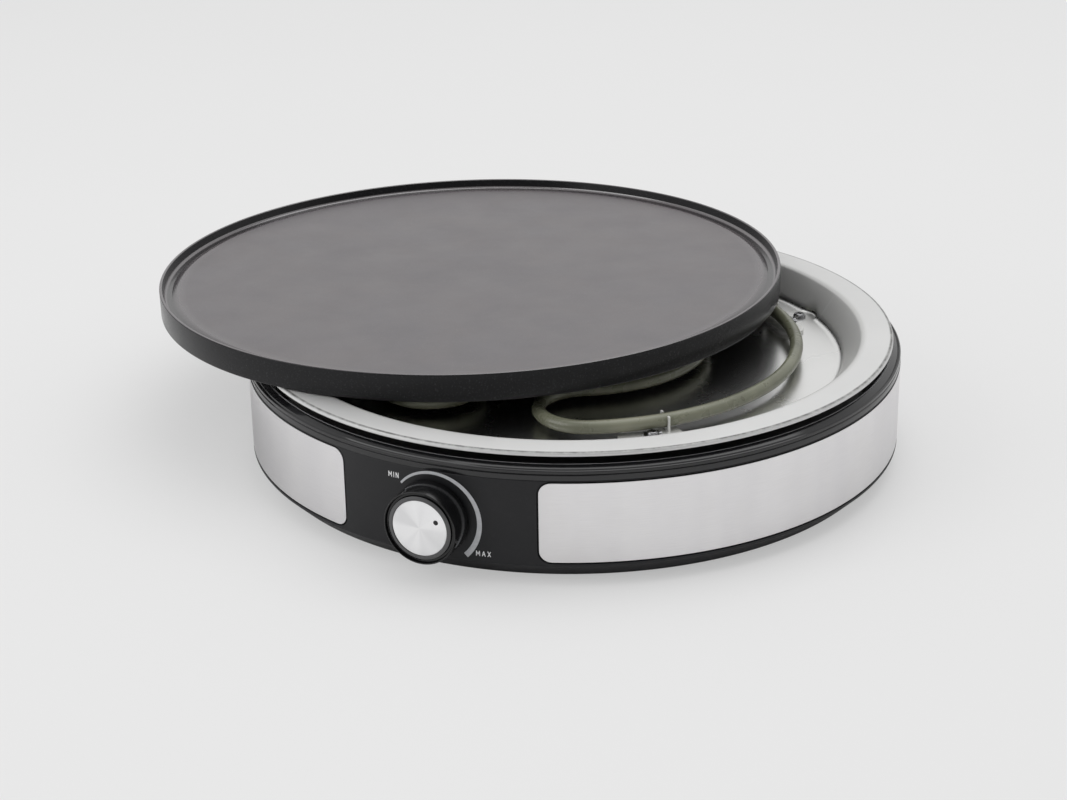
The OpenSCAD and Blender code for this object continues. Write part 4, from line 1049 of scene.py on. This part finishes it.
def make_world():
    """A pale studio: bright behind and above, dim where the viewer stands."""
    world = bpy.data.worlds.new("studio")
    bpy.context.scene.world = world
    world.use_nodes = True
    world.node_tree.nodes.clear()
    tree = Nodes(world.node_tree)

    def clamped(operation, *values):
        return tree.math(operation, *values, clamp=True)

    def glow(strength, color):
        return tree.node("ShaderNodeBackground", {"Strength": strength,
                                                  "Color": color}).outputs[0]

    def choose(share, one, two):
        return tree.node("ShaderNodeMixShader", {0: share, 1: one, 2: two}).outputs[0]

    direction = tree.node("ShaderNodeTexCoord").outputs["Generated"]
    height = tree.node("ShaderNodeSeparateXYZ", {0: direction}).outputs["Z"]
    to_viewer, side_start, side_gain = (0.39, -0.92, 0), 0.15, 2.2
    dim_top, dim_gain = 0.62, 5.0
    light, light_dip, mirror_dip = 0.76, 0.56, 0.86
    facing = tree.node("ShaderNodeVectorMath", {0: direction, 1: to_viewer},
                       operation="DOT_PRODUCT").outputs["Value"]
    near = clamped("MULTIPLY", clamped("SUBTRACT", facing, side_start), side_gain)
    below = clamped("MULTIPLY", clamped("SUBTRACT", dim_top, height), dim_gain)
    dim = clamped("MULTIPLY", near, below)
    sky = tree.ramp(height, (0.0, BACKGROUND), (0.45, 0.84), (0.62, 0.60), (0.80, 0.50),
                    (0.92, 0.60))
    lit = glow(clamped("SUBTRACT", light, clamped("MULTIPLY", dim, light_dip)), grey(1))
    shone = glow(clamped("SUBTRACT", 1.0, clamped("MULTIPLY", dim, mirror_dip)), sky)
    seen = glow(1.0, grey(BACKGROUND))
    path = tree.node("ShaderNodeLightPath").outputs
    mirrored = clamped("MAXIMUM", path["Is Glossy Ray"], path["Is Transmission Ray"])
    final = choose(path["Is Camera Ray"], choose(mirrored, lit, shone), seen)
    tree.node("ShaderNodeOutputWorld", {0: final})


def make_floor():
    """A wide pale floor under the feet; a share of its own glow softens the shadow."""
    size, glow_share = 6.0, 0.55
    mesh = bpy.data.meshes.new("floor")
    mesh.from_pydata([(-size, -size, 0), (size, -size, 0), (size, size, 0), (-size, size, 0)],
                     [], [(0, 1, 2, 3)])
    floor = bpy.data.objects.new("floor", mesh)
    bpy.context.scene.collection.objects.link(floor)
    s = Shade("floor_paper", (0.80, 0.80, 0.80), 0.9, Specular_IOR_Level=0.0)
    s.set("Base Color", s.tones(s.noise(3, 2), 0.795, 0.805))
    pale = s.node("ShaderNodeEmission", {"Color": grey(BACKGROUND)}).outputs[0]
    seen = s.node("ShaderNodeLightPath").outputs["Is Camera Ray"]
    blend = s.node("ShaderNodeMixShader", {
        0: s.math("MULTIPLY", seen, glow_share), 1: s.bsdf.outputs[0], 2: pale}).outputs[0]
    s.feed(s.nodes["Material Output"].inputs["Surface"], blend)
    mesh.materials.append(s.material)


def turn_towards(item, place, aim, roll=0.0):
    """Stands a camera or lamp at a place, looking at a point, and links it."""
    look = (Vector(aim) - Vector(place)).to_track_quat("-Z", "Y").to_matrix()
    item.location = place
    item.rotation_mode = "QUATERNION"
    item.rotation_quaternion = (look @ Matrix.Rotation(roll, 3, "Z")).to_quaternion()
    bpy.context.scene.collection.objects.link(item)


def make_lamp(name, size, power, place):
    """A soft square lamp at a place in metres, aimed at the object's middle."""
    light = bpy.data.lights.new(name, "AREA")
    light.shape = "SQUARE"
    light.size = size
    light.energy = power
    turn_towards(bpy.data.objects.new(name, light), place, (0, 0, 0.05))


def make_camera():
    """The camera, at the fitted place, in the object's own frame."""
    place = Vector((400.15, -946.34, 448.62)) * MM
    aim = Vector((-18.89, -7.99, 22.23)) * MM
    image_w, focal_px, sensor = 1067, 2196.14, 36.0
    data = bpy.data.cameras.new("camera")
    data.sensor_fit = "HORIZONTAL"
    data.sensor_width = sensor
    data.lens = focal_px / image_w * sensor
    data.clip_start, data.clip_end = 0.05, 50
    camera = bpy.data.objects.new("camera", data)
    turn_towards(camera, place, aim, roll=-0.01739)
    bpy.context.scene.camera = camera


def make_stage():
    """Camera, world, floor and lamps."""
    make_camera()
    make_world()
    make_floor()
    make_lamp("top_lamp", size=1.6, power=11, place=(0.2, 0.5, 1.8))
    make_lamp("front_lamp", size=1.4, power=9.5, place=(-1.1, -1.3, 1.1))
    bpy.context.scene.view_settings.view_transform = "Standard"


# --------------------------------------------------------------- the assembly

make_stage()
dress_frame_nodes()
make_housing()
make_ring()
make_bands()
make_bowl()
make_tube()
make_clips()
make_washers()
make_plate()
make_knob()
make_scale()
make_word("mark_min", "MIN", left=-21.9, bottom=44.2, height=2.6)
make_word("mark_max", "MAX", left=20.4, bottom=12.6, height=2.5)
make_feet()
make_gland()
